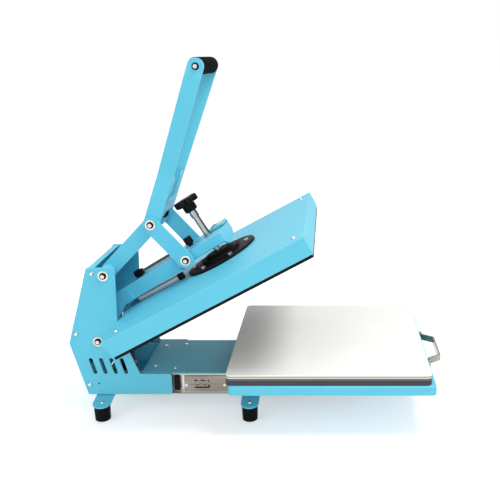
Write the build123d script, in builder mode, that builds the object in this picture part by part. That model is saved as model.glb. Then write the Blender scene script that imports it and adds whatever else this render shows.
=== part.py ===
from build123d import *
from math import atan2, cos, degrees, hypot, pi, radians, sin
import os

# A slide-out heat press, all sizes in millimetres. The origin is on the floor
# under the middle of the machine. The drawer slides out along +X, the press
# seen from its drawer end has +Y on its left, and +Z is up. The press stands
# open, with the drawer pulled out.

os.makedirs("parts", exist_ok=True)

# Fits
running = 0.05
gap = 0.3

# Drawer: print area, pad, cast platen and tray
platen_side = 380.0
pad_top = 128.0
pad_thickness = 7.0
lower_platen_thickness = 13.5
tray_height = 19.0
tray_sheet = 2.0
tray_fold = 4.0
tray_margin_y = 2.0
tray_rear_setback = 4.0
tray_front_margin = 9.0
tray_corner = 8.0
pad_corner = 10.0
drawer_travel = 185.0
closed_centre_x = -45.0

# Clamshell geometry: pivots in the plane of symmetry, and the opening angle
open_angle = 28.3
arm_pivot_x, arm_pivot_z = -309.8, 153.3
lever_pivot_x, lever_pivot_z = -289.5, 286.9
elbow_x, elbow_z = -199.5, 380.4
link_foot_x, link_foot_z = -136.0, 309.8
grip_x, grip_z = -95.8, 673.4

# Side plates and the frame between them
plate_outer_y = 90.0
plate_thickness = 4.0
plate_inner_y = plate_outer_y - plate_thickness
plate_bottom = 40.3
rail_top = 84.0
rail_front_x = -171.3
plate_front_x = -267.0
plate_top = 302.5
plate_top_rear_x = -321.3
plate_bulge_x, plate_bulge_z = -366.6, 149.0
plate_foot_rear_x = -337.8
plate_knee_x, plate_knee_z = -270.5, 179.0
rail_start_x = -233.3
plate_corner = 4.0
cover_sheet = 1.5
vent_count = 4
vent_pitch = 20.3
vent_width = 8.5
vent_length = 35.0
vent_lean = 15.0
vent_first_x, vent_z = -324.8, 101.0
small_hole_x, small_hole_z = -315.5, 63.7
small_hole_radius = 2.0
shaft_radius = 8.0
dome_radius = 4.5
dome_height = 3.0
dome_shank_radius = 2.0
foot_screw_length = 8.0

# Base channel, the plate over it and the drawer slides
base_front_x = 20.0
base_rear_x = -332.5
base_half_width = 73.0
base_sheet = 2.0
base_bottom = 38.7
base_top = 82.5
base_plate_sheet = 1.5
base_plate_rear_x = rail_start_x + 2.0
slide_length = 350.0
slide_height = 43.5
slide_sheet = 1.2
slide_depth = 11.5
slide_ball_space = 3.5
slide_inner_projection = 0.5
slide_rivet_radius = 3.0

# Feet
foot_radius = 16.0
foot_taper = 1.2
foot_x_rear, foot_x_front = -305.0, -15.0
ear_thickness = 3.0
ear_half_width = 17.5
ear_bend_y = 88.0
ear_reach = 27.0
ear_slope = 8.0
ear_inboard_y = 62.0

# Heat platen: cover, gasket, cast plate, element and blanket
cover_margin = 17.0
cover_side = platen_side + 2 * cover_margin
cover_height = 34.0
cover_wall = 2.0
cover_rear_slant = 10.0
heater_drop = 9.0
press_clearance = 0.7
heater_thickness = 18.0
gasket_height = 6.0
gasket_side = cover_side - 2 * cover_wall
element_radius = 4.0
element_loop = 300.0
element_inner_loop = 190.0
standoff_radius = 8.0
hub_u = 12.0
disc_radius = 75.0
disc_thickness = 5.0
disc_bolt_circle = 60.0
disc_bolt_count = 6
disc_bolt_radius = 3.0
disc_bolt_head_radius = 5.0
disc_bolt_head_height = 4.0
disc_bolt_depth = 10.0
hub_radius = 30.0
hub_height = 10.0
hub_flange_radius = 42.0
hub_flange_height = 6.0
spindle_pocket_depth = 6.0

# Upper arm
arm_tilt = 31.0
arm_top_offset = 11.7
arm_height = 30.0
arm_half_width = 30.0
arm_wall = 3.0
arm_rear_reach = 214.0
box_half_width = 55.0
box_rear_reach = 22.0
box_front_reach = 84.0
box_side_height = 19.0
box_bevel = 22.0
bracket_thickness = 4.0
bracket_boss_radius = 20.0
bracket_front_reach = 143.0
arm_tube_radius = 14.0
spindle_hole_clearance = 3.0

# Pressure screw
spindle_radius = 7.0
spindle_fit = 0.1
knob_height = 131.0
knob_radius = 25.0
knob_thickness = 13.0
knob_lobes = 6
knob_lobe_radius = 6.0
knob_hub_radius = 13.5
knob_hub_length = 15.0
collar_radius = 8.5
collar_length = 14.0

# Lever, handle and links
bar_width = 30.0
lever_half_width = 55.0
lever_wall = 3.0
handle_plate = 4.0
handle_straight = 100.0
handle_grip_inner_y = 81.0
handle_grip_straight = 41.0
link_width = 31.0
link_thickness = 5.0
grip_radius = 16.0
lever_tube_radius = 13.0

# Gas spring
gas_anchor_x, gas_anchor_z = -272.0, 60.0
gas_head_x, gas_head_z = -289.8, 213.3
gas_cylinder_radius = 7.5
gas_rod_radius = 3.0
gas_cylinder_length = 100.0
gas_socket_radius = 9.0
gas_socket_clearance = 2.2

# Controls and inlet
button_radius = 4.0
button_proud = 1.6
button_travel = 0.8
button_pitch = 12.0
panel_thickness = 6.0
rocker_width, rocker_height = 12.0, 20.0

# Derived places
elbow_y = lever_half_width + handle_plate + 0.5
link_outer_y = elbow_y + link_thickness
pad_centre_x = closed_centre_x + drawer_travel
pad_rear_x = pad_centre_x - platen_side / 2
lower_platen_top = pad_top - pad_thickness
tray_top = lower_platen_top - lower_platen_thickness
tray_bottom = tray_top - tray_height
slide_bottom = base_bottom
slide_top = slide_bottom + slide_height
slide_mid = (slide_bottom + slide_top) / 2
cover_top_closed = pad_top + press_clearance + heater_drop + cover_height


def opened(x, z):
    """Turn a point of the closed clamshell up to the open position."""
    turn = radians(open_angle)
    dx, dz = x - arm_pivot_x, z - arm_pivot_z
    return (arm_pivot_x + dx * cos(turn) - dz * sin(turn), arm_pivot_z + dx * sin(turn) + dz * cos(turn))


def leaning(x, z, tilt, y=0.0):
    """Plane through (x, y, z) whose own x runs up the tilt and whose own z is normal to it."""
    turn = radians(tilt)
    return Plane(origin=(x, y, z), x_dir=(cos(turn), 0, sin(turn)), z_dir=(-sin(turn), 0, cos(turn)))


def upright(y):
    """Plane parallel to XZ at the given y, for profiles extruded towards -Y."""
    return Plane.XZ.offset(-y)


def save(piece, name):
    """Label one finished piece and write its STEP file."""
    piece.part.label = name
    export_step(piece.part, f"parts/{name}.step")


platen_x, platen_z = opened(closed_centre_x, cover_top_closed)
platen_plane = leaning(platen_x, platen_z, open_angle)
arm_plane = leaning(link_foot_x, link_foot_z, arm_tilt)
hub_centre = platen_plane.from_local_coords((hub_u, 0, 0))
hub_plane = Plane(origin=hub_centre, x_dir=platen_plane.x_dir, z_dir=platen_plane.z_dir)
spindle_plane = Plane(origin=hub_centre, x_dir=arm_plane.x_dir, z_dir=arm_plane.z_dir)
arm_top_plane = arm_plane.offset(arm_top_offset)
grip_length = hypot(grip_x - elbow_x, grip_z - elbow_z)
handle_tilt = degrees(atan2(grip_z - elbow_z, grip_x - elbow_x))
lever_tilt = degrees(atan2(elbow_z - lever_pivot_z, elbow_x - lever_pivot_x))
lever_length = hypot(elbow_x - lever_pivot_x, elbow_z - lever_pivot_z)
link_tilt = degrees(atan2(link_foot_z - elbow_z, link_foot_x - elbow_x))
link_length = hypot(link_foot_x - elbow_x, link_foot_z - elbow_z)
plate_outline = [
    (plate_top_rear_x, plate_top),
    (plate_front_x, plate_top),
    (plate_knee_x, plate_knee_z),
    (rail_start_x, rail_top),
    (rail_front_x, rail_top),
    (rail_front_x, plate_bottom),
    (plate_foot_rear_x, plate_bottom),
    (plate_bulge_x, plate_bulge_z),
]
frame_screw_points = [
    (plate_top_rear_x + 10.0, plate_top - 11.0),
    (plate_bulge_x + 15.0, plate_bulge_z + 20.0),
    (plate_foot_rear_x + 4.0, plate_bottom + 22.0),
]


def bar_outline(length, width):
    """Flat bar between two pivots with rounded ends, starting at the first pivot."""
    with Locations((length / 2, 0)):
        SlotCenterToCenter(length, width)


def side_profile(x, z, tilt, y):
    """Upright plane at y whose own x runs along a bar that leans by tilt."""
    turn = radians(tilt)
    return Plane(origin=(x, y, z), x_dir=(cos(turn), 0, sin(turn)), z_dir=(0, -1, 0))


# Side plates
for side_name, outer in (("right", -plate_inner_y), ("left", plate_outer_y)):
    with BuildPart() as side_plate:
        with BuildSketch(upright(outer)) as plate_sketch:
            with BuildLine():
                Polyline(*plate_outline, close=True)
            make_face()
            fillet(plate_sketch.vertices(), plate_corner)
            with Locations((arm_pivot_x, arm_pivot_z), (lever_pivot_x, lever_pivot_z)):
                Circle(shaft_radius, mode=Mode.SUBTRACT)
            with Locations(*frame_screw_points):
                Circle(dome_shank_radius + running, mode=Mode.SUBTRACT)
            for index in range(vent_count):
                with Locations((vent_first_x + index * vent_pitch, vent_z)):
                    with Locations(Rotation(0, 0, 90 + vent_lean)):
                        SlotOverall(vent_length, vent_width, mode=Mode.SUBTRACT)
            with Locations((small_hole_x, small_hole_z)):
                Circle(small_hole_radius, mode=Mode.SUBTRACT)
        extrude(amount=plate_thickness)
    save(side_plate, f"side_plate_{side_name}")

# Rear cover: a bent sheet between the plates with side returns for its screws
rear_line = [
    (lever_pivot_x - bar_width / 2 - 3.0, plate_top - 1.0),
    (plate_top_rear_x + 2.5, plate_top - 1.0),
    (plate_bulge_x + 2.0, plate_bulge_z),
    (plate_foot_rear_x + 2.5, plate_bottom + 1.0),
]
# The side returns end above the drawer slides
return_width = 16.0
return_bottom = rail_top + 3.0
return_share = (rear_line[2][1] - return_bottom) / (rear_line[2][1] - rear_line[3][1])
return_end_x = rear_line[2][0] + return_share * (rear_line[3][0] - rear_line[2][0])
return_line = [rear_line[1], rear_line[2], (return_end_x, return_bottom)]
# Place of the mains inlet and the power switch on the lower slope of the rear cover
slope_dir = Vector(rear_line[3][0] - rear_line[2][0], 0, rear_line[3][1] - rear_line[2][1]).normalized()
slope_normal = Vector(slope_dir.Z, 0, -slope_dir.X)
slope_point = Vector((rear_line[2][0] + rear_line[3][0]) / 2, 0, (rear_line[2][1] + rear_line[3][1]) / 2)
inlet_y = -24.0
inlet_width, inlet_height = 27.0, 20.0
inlet_depth = 20.0
flange_thickness = 2.5
slope_cut_depth = 8.0
switch_y = 26.0
slope_openings = [
    (inlet_y, inlet_width, inlet_height),
    (switch_y, rocker_width + 3.0, rocker_height + 3.0),
]


def on_slope(y, depth=0.0):
    """Plane on the rear cover's lower slope at y, sunk by depth."""
    place = slope_point + Vector(0, y, 0) - slope_normal * depth
    return Plane(origin=place, x_dir=(0, 1, 0), z_dir=slope_normal)


with BuildPart() as rear_cover:
    with BuildSketch(upright(plate_inner_y)):
        with BuildLine():
            rear_edge = Polyline(*rear_line)
            offset(rear_edge, amount=cover_sheet, side=Side.LEFT)
        make_face()
    extrude(amount=2 * plate_inner_y)
    for return_y in (plate_inner_y, cover_sheet - plate_inner_y):
        with BuildSketch(upright(return_y)):
            with BuildLine():
                return_edge = Polyline(*return_line)
                offset(return_edge, amount=return_width, side=Side.LEFT)
            make_face()
        extrude(amount=cover_sheet)
    with BuildSketch(upright(plate_outer_y)):
        with Locations(*frame_screw_points):
            Circle(dome_shank_radius)
    extrude(amount=2 * plate_outer_y, mode=Mode.SUBTRACT)
    for cut_y, cut_width, cut_height in slope_openings:
        with BuildSketch(on_slope(cut_y, -1.0)):
            Rectangle(cut_width + 2 * gap, cut_height + 2 * gap)
        extrude(amount=-slope_cut_depth, mode=Mode.SUBTRACT)
save(rear_cover, "rear_cover")

# Base channel between the slides; behind the press bed its top is open and it has a floor
with BuildPart() as base_channel:
    with BuildSketch(Plane.YZ.offset(base_rear_x)):
        with Locations((0, (base_bottom + base_top) / 2)):
            Rectangle(2 * base_half_width, base_top - base_bottom)
        with Locations((0, (base_bottom + base_top - base_sheet) / 2)):
            Rectangle(2 * (base_half_width - base_sheet), base_top - base_bottom - base_sheet, mode=Mode.SUBTRACT)
    extrude(amount=base_front_x - base_rear_x)
    with BuildSketch(Plane.XY.offset(base_top)):
        with Locations(((base_rear_x + base_plate_rear_x) / 2, 0)):
            Rectangle(base_plate_rear_x - base_rear_x, 2 * (base_half_width - base_sheet))
    extrude(amount=-base_sheet, mode=Mode.SUBTRACT)
    with BuildSketch(Plane.XY.offset(base_bottom)):
        with Locations(((base_rear_x + base_plate_rear_x) / 2, 0)):
            Rectangle(base_plate_rear_x - base_rear_x, 2 * base_half_width)
    extrude(amount=base_sheet)
save(base_channel, "base_channel")

base_plate_half = base_half_width + slide_depth
base_screw_points = [(base_plate_rear_x + 20.0, 52.0), (base_plate_rear_x + 62.0, 60.0)]
base_screw_height = 1.6
with BuildPart() as base_cover_plate:
    with BuildSketch(Plane.XY.offset(base_top)):
        with Locations(((base_plate_rear_x + base_front_x) / 2, 0)):
            Rectangle(base_front_x - base_plate_rear_x, 2 * base_plate_half)
    extrude(amount=base_plate_sheet)
save(base_cover_plate, "base_cover_plate")

# Drawer slides: fixed outer members open outwards, inner members carry the drawer
slide_lip_y = base_half_width + slide_depth
inner_web_y = slide_lip_y + slide_inner_projection
inner_height = slide_height - 2 * (slide_sheet + slide_ball_space)
inner_rear_x = base_rear_x + drawer_travel
with BuildPart() as slide_outer_members:
    with BuildSketch(Plane.YZ.offset(base_rear_x)):
        with Locations((base_half_width + slide_depth / 2, slide_mid)):
            Rectangle(slide_depth, slide_height)
        with Locations((base_half_width + slide_sheet + slide_depth / 2, slide_mid)):
            Rectangle(slide_depth, slide_height - 2 * slide_sheet, mode=Mode.SUBTRACT)
    extrude(amount=slide_length)
    mirror(about=Plane.XZ)
save(slide_outer_members, "slide_outer_members")

bridge_x = inner_rear_x + 34.0
bridge_slot_length, bridge_slot_width = 28.0, 3.0
bridge_slot_z = 7.5
bridge_end_slot_x, bridge_end_slot_height = 15.0, 18.0
bridge_hole_radius = 2.6
with BuildPart() as slide_inner_members:
    with BuildSketch(Plane.YZ.offset(inner_rear_x)):
        with Locations((inner_web_y - slide_depth / 2 + 1.0, slide_mid)):
            Rectangle(slide_depth - 2.0, inner_height)
        with Locations((inner_web_y - slide_sheet - slide_depth / 2 + 1.0, slide_mid)):
            Rectangle(slide_depth - 2.0, inner_height - 2 * slide_sheet, mode=Mode.SUBTRACT)
    extrude(amount=slide_length)
    with BuildSketch(upright(inner_web_y)):
        with Locations((bridge_x, slide_mid + bridge_slot_z), (bridge_x, slide_mid - bridge_slot_z)):
            Rectangle(bridge_slot_length, bridge_slot_width)
        with Locations((bridge_x + bridge_end_slot_x, slide_mid)):
            Rectangle(bridge_slot_width, bridge_end_slot_height)
        with Locations((bridge_x - 8.0, slide_mid), (bridge_x + 6.0, slide_mid)):
            Circle(bridge_hole_radius)
    extrude(amount=slide_sheet, mode=Mode.SUBTRACT)
    mirror(about=Plane.XZ)
save(slide_inner_members, "slide_inner_members")

# Ball retainers run half as far as the drawer: a bent cage with the balls in its
# flanges, and a black stop inside the rear end of each cage
retainer_length = 170.0
retainer_sheet = 1.6
cage_sheet = 0.7
ball_radius = slide_ball_space / 2 - running
ball_count = 8
ball_y = slide_lip_y - 4.0
cage_y = base_half_width + slide_sheet + gap
cage_flange_y = slide_lip_y - 1.0
stop_length = 12.0
stop_gap = 0.6
stop_width = 8.2
retainer_start_x = inner_rear_x - 8.5
retainer_mid_x = retainer_start_x + retainer_length / 2
ball_levels = [slide_top - slide_sheet - slide_ball_space / 2, slide_bottom + slide_sheet + slide_ball_space / 2]
with BuildPart() as ball_retainers:
    for level in ball_levels:
        with BuildSketch(Plane.XY.offset(level - retainer_sheet / 2)):
            with Locations((retainer_mid_x, (cage_y + cage_flange_y) / 2)):
                Rectangle(retainer_length, cage_flange_y - cage_y)
            with Locations((retainer_mid_x, ball_y)):
                with GridLocations(retainer_length / ball_count, 1.0, ball_count, 1):
                    Circle(ball_radius + running, mode=Mode.SUBTRACT)
        extrude(amount=retainer_sheet)
        with Locations((retainer_mid_x, ball_y, level)):
            with GridLocations(retainer_length / ball_count, 1.0, ball_count, 1):
                Sphere(ball_radius)
    with BuildSketch(Plane.YZ.offset(retainer_start_x - stop_length)):
        with Locations((cage_y + cage_sheet / 2, slide_mid)):
            Rectangle(cage_sheet, ball_levels[0] - ball_levels[1])
    extrude(amount=retainer_length + stop_length)
    mirror(about=Plane.XZ)
save(ball_retainers, "ball_retainers")

with BuildPart() as slide_stops:
    with BuildSketch(Plane.YZ.offset(retainer_start_x)):
        with Locations((cage_y + cage_sheet + stop_width / 2, slide_mid)):
            RectangleRounded(stop_width, inner_height - 2 * slide_sheet - 2 * stop_gap, 2.0)
    extrude(amount=-stop_length)
    mirror(about=Plane.XZ)
save(slide_stops, "slide_stops")

# Foot ears bent down from under the base channel, each over a rubber foot
ear_turn = radians(ear_slope)
foot_y = ear_bend_y + ear_reach * cos(ear_turn)


def ear_plane(x):
    """Top face of the sloping part of an ear on the +Y side."""
    return Plane(origin=(x, ear_bend_y, base_bottom), x_dir=(1, 0, 0), z_dir=(0, sin(ear_turn), cos(ear_turn)))


with BuildPart() as foot_brackets:
    for foot_x in (foot_x_rear, foot_x_front):
        with BuildSketch(Plane.XY.offset(base_bottom)):
            with Locations((foot_x, (ear_inboard_y + ear_bend_y) / 2)):
                Rectangle(2 * ear_half_width, ear_bend_y - ear_inboard_y)
        extrude(amount=-ear_thickness)
        with BuildSketch(ear_plane(foot_x)):
            with Locations((0, ear_reach / 2 - 0.5)):
                Rectangle(2 * ear_half_width, ear_reach + 1.0)
            with Locations((0, ear_reach)):
                Circle(ear_half_width)
                Circle(dome_shank_radius + running, mode=Mode.SUBTRACT)
        extrude(amount=-ear_thickness)
    mirror(about=Plane.XZ)
save(foot_brackets, "foot_brackets")

with BuildPart() as rubber_feet:
    for foot_x in (foot_x_rear, foot_x_front):
        with BuildSketch(Plane.XY):
            with Locations((foot_x, foot_y)):
                Circle(foot_radius - foot_taper)
        extrude(amount=base_bottom, taper=-degrees(atan2(foot_taper, base_bottom)))
    split(bisect_by=ear_plane(foot_x_rear).offset(-ear_thickness), keep=Keep.BOTTOM)
    for foot_x in (foot_x_rear, foot_x_front):
        with BuildSketch(ear_plane(foot_x).offset(-ear_thickness)):
            with Locations((0, ear_reach)):
                Circle(dome_shank_radius + running)
        extrude(amount=-foot_screw_length - 1.0, mode=Mode.SUBTRACT)
    mirror(about=Plane.XZ)
save(rubber_feet, "rubber_feet")

# Dome screws of the side plates, the cover plate and the foot ears
with BuildPart() as frame_screws:
    for foot_x in (foot_x_rear, foot_x_front):
        with BuildSketch(ear_plane(foot_x)):
            with Locations((0, ear_reach)):
                Circle(dome_radius)
        extrude(amount=dome_height, taper=25)
        with BuildSketch(ear_plane(foot_x)):
            with Locations((0, ear_reach)):
                Circle(dome_shank_radius)
        extrude(amount=-ear_thickness - foot_screw_length)
    with BuildSketch(upright(plate_outer_y)):
        with Locations(*frame_screw_points):
            Circle(dome_radius)
    extrude(amount=-dome_height, taper=25)
    with BuildSketch(upright(plate_outer_y)):
        with Locations(*frame_screw_points):
            Circle(dome_shank_radius - running)
    extrude(amount=plate_thickness)
    with BuildSketch(Plane.XY.offset(base_top + base_plate_sheet)):
        with Locations(*base_screw_points):
            Circle(dome_radius)
    extrude(amount=base_screw_height, taper=30)
    mirror(about=Plane.XZ)
save(frame_screws, "frame_screws")


# Pivot hardware shared by the arm, the lever and the elbow
bolt_head_radius = 6.5
bolt_head_height = 4.5
bolt_socket_radius = 2.9
bolt_socket_depth = 2.5
bolt_shank_radius = 4.0
bolt_shank_length = 18.0
washer_radius = 10.0
washer_thickness = 1.8


def pivot_shaft(x, z, radius, end_y):
    """Return a cross shaft from side to side with a tapped hole in each end."""
    with BuildPart(mode=Mode.PRIVATE) as shaft:
        with BuildSketch(upright(end_y)):
            with Locations((x, z)):
                Circle(radius)
        extrude(amount=2 * end_y)
        for plane, side in ((upright(end_y), 1), (upright(-end_y), -1)):
            with BuildSketch(plane):
                with Locations((x, z)):
                    Circle(bolt_shank_radius + running)
            extrude(amount=side * (bolt_shank_length + 1.0), mode=Mode.SUBTRACT)
    return shaft.part


def end_bolts(x, z, face_y, shank_length, washer=washer_radius):
    """Return a washer and a button-head socket bolt on the face at face_y, on both sides."""
    seat_y = face_y + washer_thickness
    with BuildPart(mode=Mode.PRIVATE) as bolts:
        with BuildSketch(upright(seat_y)):
            with Locations((x, z)):
                Circle(washer)
                Circle(bolt_shank_radius + running, mode=Mode.SUBTRACT)
        extrude(amount=washer_thickness)
        with BuildSketch(upright(seat_y + running)):
            with Locations((x, z)):
                Circle(bolt_head_radius)
        extrude(amount=-bolt_head_height, taper=18)
        with BuildSketch(upright(seat_y + bolt_head_height)):
            with Locations((x, z)):
                RegularPolygon(bolt_socket_radius, 6)
        extrude(amount=bolt_socket_depth, mode=Mode.SUBTRACT)
        with BuildSketch(upright(seat_y + running)):
            with Locations((x, z)):
                Circle(bolt_shank_radius)
        extrude(amount=washer_thickness + shank_length)
        mirror(about=Plane.XZ)
    return bolts.part


frame_pivots = [(arm_pivot_x, arm_pivot_z), (lever_pivot_x, lever_pivot_z)]
with BuildPart() as pivot_shafts:
    for pivot_x, pivot_z in frame_pivots:
        add(pivot_shaft(pivot_x, pivot_z, shaft_radius - running, plate_outer_y))
save(pivot_shafts, "pivot_shafts")

with BuildPart() as pivot_bolts:
    for pivot_x, pivot_z in frame_pivots:
        add(end_bolts(pivot_x, pivot_z, plate_outer_y, bolt_shank_length))
save(pivot_bolts, "pivot_bolts")

# Drawer: pressed tray, cast platen, silicone pad, pull handle and slide brackets
tray_rear_x = pad_rear_x + tray_rear_setback
tray_front_x = pad_rear_x + platen_side + tray_front_margin
tray_mid_x = (tray_rear_x + tray_front_x) / 2
tray_length = tray_front_x - tray_rear_x
tray_width = platen_side + 2 * tray_margin_y
with BuildPart() as drawer_tray:
    with BuildSketch(Plane.XY.offset(tray_bottom)):
        with Locations((tray_mid_x, 0)):
            RectangleRounded(tray_length, tray_width, tray_corner)
    extrude(amount=tray_height)
    fillet(drawer_tray.edges().group_by(Axis.Z)[-1], tray_fold)
    with BuildSketch(Plane.XY.offset(tray_bottom)):
        with Locations((tray_mid_x, 0)):
            inner_corner = tray_corner - tray_sheet
            RectangleRounded(tray_length - 2 * tray_sheet, tray_width - 2 * tray_sheet, inner_corner)
    extrude(amount=tray_height - tray_sheet, mode=Mode.SUBTRACT)
save(drawer_tray, "drawer_tray")

with BuildPart() as lower_platen:
    with BuildSketch(Plane.XY.offset(tray_top)):
        with Locations((pad_centre_x, 0)):
            RectangleRounded(platen_side, platen_side, pad_corner)
    extrude(amount=lower_platen_thickness)
    chamfer(lower_platen.edges().group_by(Axis.Z)[-1], 1.0)
save(lower_platen, "lower_platen")

with BuildPart() as silicone_pad:
    with BuildSketch(Plane.XY.offset(lower_platen_top)):
        with Locations((pad_centre_x, 0)):
            RectangleRounded(platen_side, platen_side, pad_corner)
    extrude(amount=pad_thickness)
    fillet(silicone_pad.edges().group_by(Axis.Z)[-1], 1.5)
save(silicone_pad, "silicone_pad")

# Pull handle: a flat strip bent to a trapezoid, standing out of the tray's front
handle_tip_x = -plate_bulge_x
pull_strip = 4.0
pull_width = 13.0
pull_z = tray_top - pull_width / 2
pull_base_half = 62.0
pull_grip_half = 45.0
pull_foot = 16.0
with BuildPart() as pull_handle:
    with BuildSketch(Plane.XY.offset(pull_z - pull_width / 2)):
        with BuildLine():
            Polyline(
                (tray_front_x, pull_base_half + pull_foot),
                (tray_front_x, pull_base_half),
                (handle_tip_x - pull_strip, pull_grip_half),
                (handle_tip_x - pull_strip, -pull_grip_half),
                (tray_front_x, -pull_base_half),
                (tray_front_x, -pull_base_half - pull_foot),
                (tray_front_x + pull_strip, -pull_base_half - pull_foot),
                (tray_front_x + pull_strip, -pull_base_half - 2.0),
                (handle_tip_x, -pull_grip_half - 2.0),
                (handle_tip_x, pull_grip_half + 2.0),
                (tray_front_x + pull_strip, pull_base_half + 2.0),
                (tray_front_x + pull_strip, pull_base_half + pull_foot),
                close=True,
            )
        make_face()
    extrude(amount=pull_width)
save(pull_handle, "pull_handle")

# Tray bolts under the platen, screws of the pull handle and rivets of the inner members
tray_bolt_spread = 300.0
pull_screw_radius = 3.5
rivet_height = 0.7
slide_rivet_z = slide_mid - 2.5
slide_rivet_x = [inner_rear_x + 4.0, inner_rear_x + 80.0]
with BuildPart() as drawer_screws:
    with BuildSketch(Plane.XY.offset(tray_top - tray_sheet)):
        with Locations((pad_centre_x, 0)):
            with GridLocations(tray_bolt_spread, tray_bolt_spread, 2, 2):
                Circle(bolt_head_radius)
    extrude(amount=-bolt_head_height)
    with BuildSketch(Plane.YZ.offset(tray_front_x + pull_strip)):
        with Locations((pull_base_half + pull_foot / 2 + 1.0, pull_z), (-pull_base_half - pull_foot / 2 - 1.0, pull_z)):
            Circle(pull_screw_radius)
    extrude(amount=2.2, taper=25)
    for rivet_face, rivet_step in ((inner_web_y, -rivet_height), (-inner_web_y, rivet_height)):
        with BuildSketch(upright(rivet_face)):
            with Locations(*[(rivet_x, slide_rivet_z) for rivet_x in slide_rivet_x]):
                Circle(slide_rivet_radius)
        extrude(amount=rivet_step)
save(drawer_screws, "drawer_screws")

# Angle brackets join the tray to the inner slide members
bracket_drop = 12.0
bracket_flange = 28.0
bracket_start_x = base_front_x + 2.0
bracket_end_x = inner_rear_x + slide_length
bracket_sheet = 2.0
with BuildPart() as drawer_brackets:
    with BuildSketch(Plane.YZ.offset(bracket_start_x)):
        with Locations((inner_web_y + bracket_sheet / 2, (slide_mid - bracket_drop + tray_top - tray_sheet) / 2)):
            Rectangle(bracket_sheet, tray_top - tray_sheet - slide_mid + bracket_drop)
        with Locations((inner_web_y + bracket_flange / 2, tray_top - tray_sheet - bracket_sheet / 2)):
            Rectangle(bracket_flange, bracket_sheet)
    extrude(amount=bracket_end_x - bracket_start_x)
    mirror(about=Plane.XZ)
save(drawer_brackets, "drawer_brackets")

# Heat platen, drawn on the plane of the cover's top with its own Z normal to it. The
# cast plate hangs under the cover on bosses that the disc's bolts are tapped into
rim_level = -cover_height
heater_bottom = rim_level - heater_drop
heater_top = heater_bottom + heater_thickness
rear_slant = cover_height * sin(radians(cover_rear_slant)) / cos(radians(cover_rear_slant))
side_plane = side_profile(platen_x, platen_z, open_angle, cover_side / 2)
platen_normal = Axis(platen_plane.origin, platen_plane.z_dir)
with BuildPart() as heat_cover:
    with BuildSketch(side_plane):
        with BuildLine():
            Polyline(
                (-cover_side / 2, 0),
                (cover_side / 2, 0),
                (cover_side / 2, rim_level),
                (-cover_side / 2 + rear_slant, rim_level),
                close=True,
            )
        make_face()
    extrude(amount=cover_side)
    fillet(heat_cover.edges().group_by(SortBy.LENGTH)[-1], 0.6)
    with BuildSketch(side_plane.offset(cover_wall)):
        with BuildLine():
            Polyline(
                (-cover_side / 2 + 2 * cover_wall, -cover_wall),
                (cover_side / 2 - cover_wall, -cover_wall),
                (cover_side / 2 - cover_wall, rim_level - 1.0),
                (-cover_side / 2 + rear_slant + 1.5 * cover_wall, rim_level - 1.0),
                close=True,
            )
        make_face()
    extrude(amount=cover_side - 2 * cover_wall, mode=Mode.SUBTRACT)
    with BuildSketch(hub_plane):
        with PolarLocations(disc_bolt_circle, disc_bolt_count):
            Circle(disc_bolt_radius + running)
    extrude(amount=-cover_wall, mode=Mode.SUBTRACT)
save(heat_cover, "heat_cover")

with BuildPart() as heater_plate:
    with BuildSketch(platen_plane.offset(heater_bottom)):
        RectangleRounded(platen_side, platen_side, pad_corner)
    extrude(amount=heater_thickness)
    with BuildSketch(hub_plane.offset(heater_top)):
        with PolarLocations(disc_bolt_circle, disc_bolt_count):
            Circle(standoff_radius)
    extrude(amount=-cover_wall - heater_top)
    with BuildSketch(hub_plane):
        with PolarLocations(disc_bolt_circle, disc_bolt_count):
            Circle(disc_bolt_radius + running)
    extrude(amount=heater_top - disc_bolt_depth - 2.0, mode=Mode.SUBTRACT)
save(heater_plate, "heater_plate")

with BuildPart() as rim_gasket:
    with BuildSketch(platen_plane.offset(rim_level)):
        with Locations((rear_slant / 2, 0)):
            Rectangle(gasket_side - rear_slant, gasket_side)
        RectangleRounded(platen_side, platen_side, pad_corner, mode=Mode.SUBTRACT)
    extrude(amount=-gasket_height)
save(rim_gasket, "rim_gasket")

# Two tubular element loops and the button of the temperature probe, cast on the plate
probe_radius = 6.0
with BuildPart() as heating_element:
    with BuildSketch(platen_plane.offset(heater_top)):
        for loop_side, loop_corner in ((element_loop, 40.0), (element_inner_loop, 30.0)):
            loop_inside = loop_side - 4 * element_radius
            inside_corner = loop_corner - 2 * element_radius
            RectangleRounded(loop_side, loop_side, loop_corner)
            RectangleRounded(loop_inside, loop_inside, inside_corner, mode=Mode.SUBTRACT)
        Circle(probe_radius)
    extrude(amount=element_radius)
save(heating_element, "heating_element")

blanket_bottom = heater_top + element_radius
with BuildPart() as insulation_blanket:
    with BuildSketch(platen_plane.offset(blanket_bottom)):
        Rectangle(platen_side, platen_side)
        with Locations((hub_u, 0)):
            with PolarLocations(disc_bolt_circle, disc_bolt_count):
                Circle(standoff_radius + gap, mode=Mode.SUBTRACT)
    extrude(amount=-cover_wall - gap - blanket_bottom)
save(insulation_blanket, "insulation_blanket")

with BuildPart() as hub_disc:
    with BuildSketch(hub_plane):
        Circle(disc_radius)
        with PolarLocations(disc_bolt_circle, disc_bolt_count):
            Circle(disc_bolt_radius + running, mode=Mode.SUBTRACT)
    extrude(amount=disc_thickness)
    chamfer(hub_disc.edges().group_by(SortBy.LENGTH)[-1], 0.8)
save(hub_disc, "hub_disc")

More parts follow.
